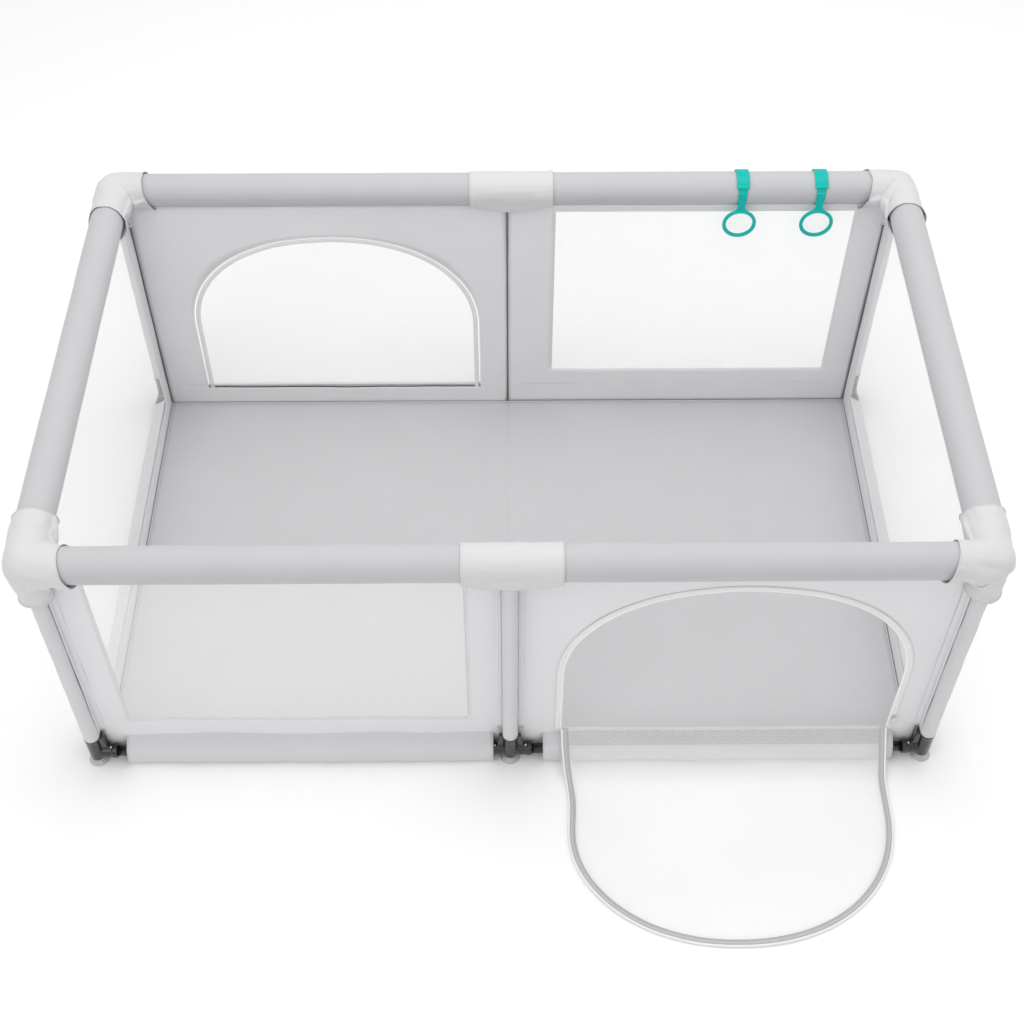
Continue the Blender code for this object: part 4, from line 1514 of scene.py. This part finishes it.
class PLAYPEN_OT_connectors(bpy.types.Operator):
    """Make the moulded base connectors, with their ears, collars and sockets"""

    bl_idname = "playpen.connectors"
    bl_label = "Connectors"

    def execute(self, context):
        for name, (sx, sy) in CORNERS.items():
            centre = Vector((sx * HALF_X, sy * HALF_Y, BASE_Z))
            self.connector(f"base_corner_{name}", centre, (X * -sx, Y * -sy))
        for name, sy in (("front", -1), ("back", 1)):
            self.connector(f"base_tee_{name}", Vector((0, sy * HALF_Y, BASE_Z)), (X, -X))
        return {"FINISHED"}

    def connector(self, cad_name, centre, arms):
        low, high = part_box(cad_name)
        reach = max(high.x - low.x, high.y - low.y)
        reach = reach / 2 if arms[0].dot(arms[1]) else reach - (POST_R + 0.003)
        top = high.z
        wall = BASE_R + SOCKET_WALL
        mouth = Vector((centre.x, centre.y, top))
        shapes = [
            rod(centre - Z * (POST_R + 0.0024), mouth, POST_R + POST_SOCKET_WALL),
            rod(Vector((centre.x, centre.y, top - POST_COLLAR_TALL)), mouth, POST_R + POST_COLLAR_WALL),
        ]
        for arm in arms:
            shapes.append(rod(centre, centre + arm * reach, wall))
            collar = centre + arm * (reach - COLLAR_WIDE)
            shapes.append(rod(collar, centre + arm * reach, wall + COLLAR_STEP))
            shapes.append(self.ear(centre, arm, top))
        made = fused(f"{cad_name}_moulding", shapes, CONNECTOR_VOXEL)
        finish_piece(made, black_plastic(), "frame")
        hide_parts(cad_name)

    def ear(self, centre, arm, top):
        """The pointed web between the post socket and a level socket."""
        side = Z.cross(arm)
        rise = top - centre.z
        outline = (
            (0.008, 0.0), (0.034, 0.008), (0.027, 0.020),
            (0.0255, rise * 0.72), (0.0225, rise), (0.008, rise),
        )
        bm = bmesh.new()
        capped(bm, [
            [centre + arm * u + Z * z + side * half for u, z in outline] for half in (-EAR_HALF, EAR_HALF)
        ])
        return recalculated(bm)


BUTTON_FROM_END = 0.0134
BUTTON_PROFILE = ((0.0028, 0), (0.0028, 0.0035), (0.0024, 0.0046), (0.0014, 0.0053), (0.0004, 0.0055))


class PLAYPEN_OT_tubes(bpy.types.Operator):
    """Make the black base tubes and their snap buttons"""

    bl_idname = "playpen.tubes"
    bl_label = "Tubes and Buttons"

    def execute(self, context):
        paint = moulded_material("black_paint", (0.012, 0.012, 0.013), 0.25, coat=0.3, metallic=0.2)
        buttons = []
        for name in ("front_left", "front_right", "back_left", "back_right", "left", "right"):
            low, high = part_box(f"base_tube_{name}")
            centre = (low + high) / 2
            level = X if high.x - low.x > high.y - low.y else Y
            half = (high - low).dot(level) / 2
            start, end = centre - level * half, centre + level * half
            bm = bmesh.new()
            tube(bm, [start + (end - start) * i / 8 for i in range(9)], BASE_R, 48)
            made = finish_piece(from_bmesh(f"base_tube_paint_{name}", bm), paint, "frame")
            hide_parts(f"base_tube_{name}")
            for foot, way in ((start, level), (end, -level)):
                buttons.append(foot + way * BUTTON_FROM_END)
        bm = bmesh.new()
        for spot in buttons:
            base = spot.z + BASE_R - 0.001
            profile = [(radius, base + rise) for radius, rise in BUTTON_PROFILE]
            add_shape(bm, turned(profile, (spot.x, spot.y), 20))
        finish_piece(from_bmesh("base_snap_buttons", bm), plated(), "frame")
        return {"FINISHED"}


class PLAYPEN_OT_feet(bpy.types.Operator):
    """Make the clear suction feet"""

    bl_idname = "playpen.feet"
    bl_label = "Suction Feet"

    def execute(self, context):
        clear = moulded_material("clear_soft_moulding", (0.86, 0.87, 0.89), 0.25, clear=0.55)
        for name, _ in post_list():
            low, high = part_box(f"suction_foot_{name}")
            centre = (low + high) / 2
            radius = (high.x - low.x) / 2
            top = high.z
            profile = (
                (0.0005, 0.0062), (0.006, 0.0056), (0.012, 0.0040), (0.0165, 0.0018),
                (radius - 0.0015, 0.0003), (radius - 0.0004, 0.0005), (radius, 0.0012),
                (radius - 0.0006, 0.0020), (radius - 0.003, 0.0034), (0.0150, 0.0062), (0.0112, 0.0088),
                (0.0095, 0.0112), (0.0090, top - 0.0006), (0.0086, top), (0.0005, top),
            )
            made = finish_piece(
                from_bmesh(f"suction_foot_moulding_{name}", turned(profile, (centre.x, centre.y))),
                clear, "frame",
            )
            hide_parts(f"suction_foot_{name}")
        return {"FINISHED"}


RING_VOXEL = 0.0009
RING_WIRE = 0.0041


class PLAYPEN_OT_rings(bpy.types.Operator):
    """Make the two soft pull rings: noose, head, neck and grip ring"""

    bl_idname = "playpen.rings"
    bl_label = "Pull Rings"

    def execute(self, context):
        soft = moulded_material("teal_soft_moulding", colours().ring, 0.42, gloss=0.22)
        for name in ("pull_ring_left", "pull_ring_right"):
            low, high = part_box(name)
            x = (low.x + high.x) / 2
            axis = Vector((x, HALF_Y, RAIL_Z))
            grip_z = low.z + (high.x - low.x) / 2
            made = fused(f"{name}_moulding", self.shapes(axis, grip_z, (high.x - low.x) / 2), RING_VOXEL)
            finish_piece(made, soft, "ring_left" if name.endswith("left") else "ring_right")
            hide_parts(name)
        return {"FINISHED"}

    def shapes(self, axis, grip_z, radius):
        wire = RING_WIRE
        shapes = [
            self.band(axis, 0.0352, 0.0380, 0.0100, 0, 360),
            self.band(axis, 0.0354, 0.0396, 0.0142, 38, 152),
            self.band(axis, 0.0360, 0.0412, 0.0142, 34, 41),
        ]
        centre = Vector((axis.x, axis.y - 0.0368, grip_z))
        top = grip_z + radius - wire
        neck = [(axis.z + 0.012, 0.0100), (axis.z - 0.004, 0.0092), (axis.z - 0.016, 0.0082),
                (top + 0.009, 0.0092), (top + 0.003, 0.0135), (top - 0.002, 0.0185)]
        bm = bmesh.new()
        rows = []
        for z, half in neck:
            rows.append([
                Vector((axis.x + half * math.cos(a), centre.y + 0.0022 * math.sin(a), z))
                for a in (2 * math.pi * k / 20 for k in range(20))
            ])
        capped(bm, rows)
        shapes.append(recalculated(bm))
        ring = bmesh.new()
        loop = [
            centre + Vector((math.cos(a), 0, math.sin(a))) * (radius - wire)
            for a in (2 * math.pi * k / 72 for k in range(72))
        ]
        tube(ring, loop, wire, 16, True)
        shapes.append(recalculated(ring))
        for k in range(14):
            angle = math.radians(198 + 144 * k / 13)
            out = Vector((math.cos(angle), 0, math.sin(angle)))
            bead = bmesh.new()
            bmesh.ops.create_uvsphere(
                bead, u_segments=14, v_segments=10, radius=wire * 1.14,
                matrix=Matrix.Translation(centre + out * (radius - wire)),
            )
            shapes.append(bead)
        return shapes

    def band(self, axis, inner, outer, half, first, last):
        """Part of a ring round the rail: degrees from the inner side, over the top."""
        bm = bmesh.new()
        steps = max(4, int((last - first) / 5))
        rows = []
        closed = last - first >= 360
        for i in range(steps if closed else steps + 1):
            angle = math.radians(first + (last - first) * i / steps)
            way = Vector((0, -math.cos(angle), math.sin(angle)))
            rows.append([axis + way * r + X * x for r, x in
                         ((inner, -half), (outer, -half), (outer, half), (inner, half))])
        if closed:
            grid(bm, rows + rows[:1], close=True)
            bmesh.ops.remove_doubles(bm, verts=bm.verts, dist=1e-6)
        else:
            capped(bm, rows)
        return recalculated(bm)


class PLAYPEN_OT_finishes(bpy.types.Operator):
    """Give the frame's own parts their finishes"""

    bl_idname = "playpen.finishes"
    bl_label = "Finishes"

    def execute(self, context):
        steel = moulded_material("bare_steel", (0.6, 0.6, 0.62), 0.35, metallic=1.0)
        for name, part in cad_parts.items():
            if name.startswith(("rail_tube", "post_")):
                paint = steel
            elif "zip" in name:
                paint = plated()
            elif name.startswith(("rail_corner", "rail_tee")):
                paint = black_plastic()
            else:
                continue
            part.data.materials.clear()
            part.data.materials.append(paint)
        return {"FINISHED"}


# ---------------------------------------------------------------- studio


FLOOR_HALF = 14
LAMPS = (  # name, place, size and power
    ("key", (-1.6, -2.6, 3.2), 2.4, 20),
    ("top", (0.1, 0.3, 3.6), 2.6, 46),
    ("fill", (2.6, 0.8, 2.4), 2.4, 8),
)
SKY_STRENGTH = 0.78
CAMERA_PLACE, CAMERA_LENS = (-0.0077, -2.2125, 2.8631), 54.73
CAMERA_DOWN, CAMERA_TURN = math.radians(90 - 50.54), math.radians(-0.39)


class PLAYPEN_OT_stage(bpy.types.Operator):
    """Make the white studio: floor, light and camera"""

    bl_idname = "playpen.stage"
    bl_label = "Studio"

    def execute(self, context):
        bm = bmesh.new()
        corners = ((-1, -1), (1, -1), (1, 1), (-1, 1))
        bm.faces.new([bm.verts.new((x * FLOOR_HALF, y * FLOOR_HALF, -0.0004)) for x, y in corners])
        floor = from_bmesh("studio_floor", bm, recalc=False)
        white, _, shader = new_material("studio_white")
        shader.inputs["Base Color"].default_value = (0.98, 0.98, 0.98, 1)
        shader.inputs["Roughness"].default_value = 0.9
        shader.inputs["Specular IOR Level"].default_value = 0.1
        floor.data.materials.append(white)
        world = bpy.data.worlds.new("studio_world")
        context.scene.world = world
        world.use_nodes = True
        sky = world.node_tree.nodes["Background"]
        sky.inputs["Color"].default_value = (1, 1, 1, 1)
        sky.inputs["Strength"].default_value = SKY_STRENGTH
        for name, place, size, power in LAMPS:
            light = bpy.data.lights.new(name, "AREA")
            light.shape = "SQUARE"
            light.size = size
            light.energy = power
            lamp = bpy.data.objects.new(name, light)
            context.scene.collection.objects.link(lamp)
            lamp.location = place
            aim = Vector((0, 0, 0.2)) - Vector(place)
            lamp.rotation_euler = aim.to_track_quat("-Z", "Y").to_euler()
        lens = bpy.data.cameras.new("camera")
        lens.lens = CAMERA_LENS
        lens.sensor_width = 36
        camera = bpy.data.objects.new("camera", lens)
        context.scene.collection.objects.link(camera)
        camera.location = CAMERA_PLACE
        camera.rotation_euler = (CAMERA_DOWN, 0, CAMERA_TURN)
        context.scene.camera = camera
        context.scene.view_settings.view_transform = "Standard"
        return {"FINISHED"}


class PLAYPEN_PT_panel(bpy.types.Panel):
    """Lists the playpen's pieces in the sidebar"""

    bl_idname = "PLAYPEN_PT_panel"
    bl_label = "Playpen"
    bl_space_type = "VIEW_3D"
    bl_region_type = "UI"
    bl_category = "Playpen"

    def draw(self, context):
        column = self.layout.column()
        for settings in (context.scene.playpen_sizes, context.scene.playpen_colours):
            for name in settings.__annotations__:
                column.prop(settings, name)
        for operator in OPERATORS:
            column.operator(operator.bl_idname)


OPERATORS = (
    PLAYPEN_OT_stage,
    PLAYPEN_OT_finishes,
    PLAYPEN_OT_walls,
    PLAYPEN_OT_netting,
    PLAYPEN_OT_hems,
    PLAYPEN_OT_sleeves,
    PLAYPEN_OT_floor,
    PLAYPEN_OT_rails,
    PLAYPEN_OT_corner_covers,
    PLAYPEN_OT_centre_covers,
    PLAYPEN_OT_front_door,
    PLAYPEN_OT_doorways,
    PLAYPEN_OT_seams,
    PLAYPEN_OT_connectors,
    PLAYPEN_OT_tubes,
    PLAYPEN_OT_feet,
    PLAYPEN_OT_rings,
)
CLASSES = (PlaypenSizes, PlaypenColours, *OPERATORS, PLAYPEN_PT_panel)


def register():
    for item in CLASSES:
        bpy.utils.register_class(item)
    bpy.types.Scene.playpen_sizes = PointerProperty(type=PlaypenSizes)
    bpy.types.Scene.playpen_colours = PointerProperty(type=PlaypenColours)


def unregister():
    del bpy.types.Scene.playpen_sizes
    del bpy.types.Scene.playpen_colours
    for item in reversed(CLASSES):
        bpy.utils.unregister_class(item)


def main():
    register()
    for operator in OPERATORS:
        family, name = operator.bl_idname.split(".")
        getattr(getattr(bpy.ops, family), name)()


if __name__ == "__main__":
    main()
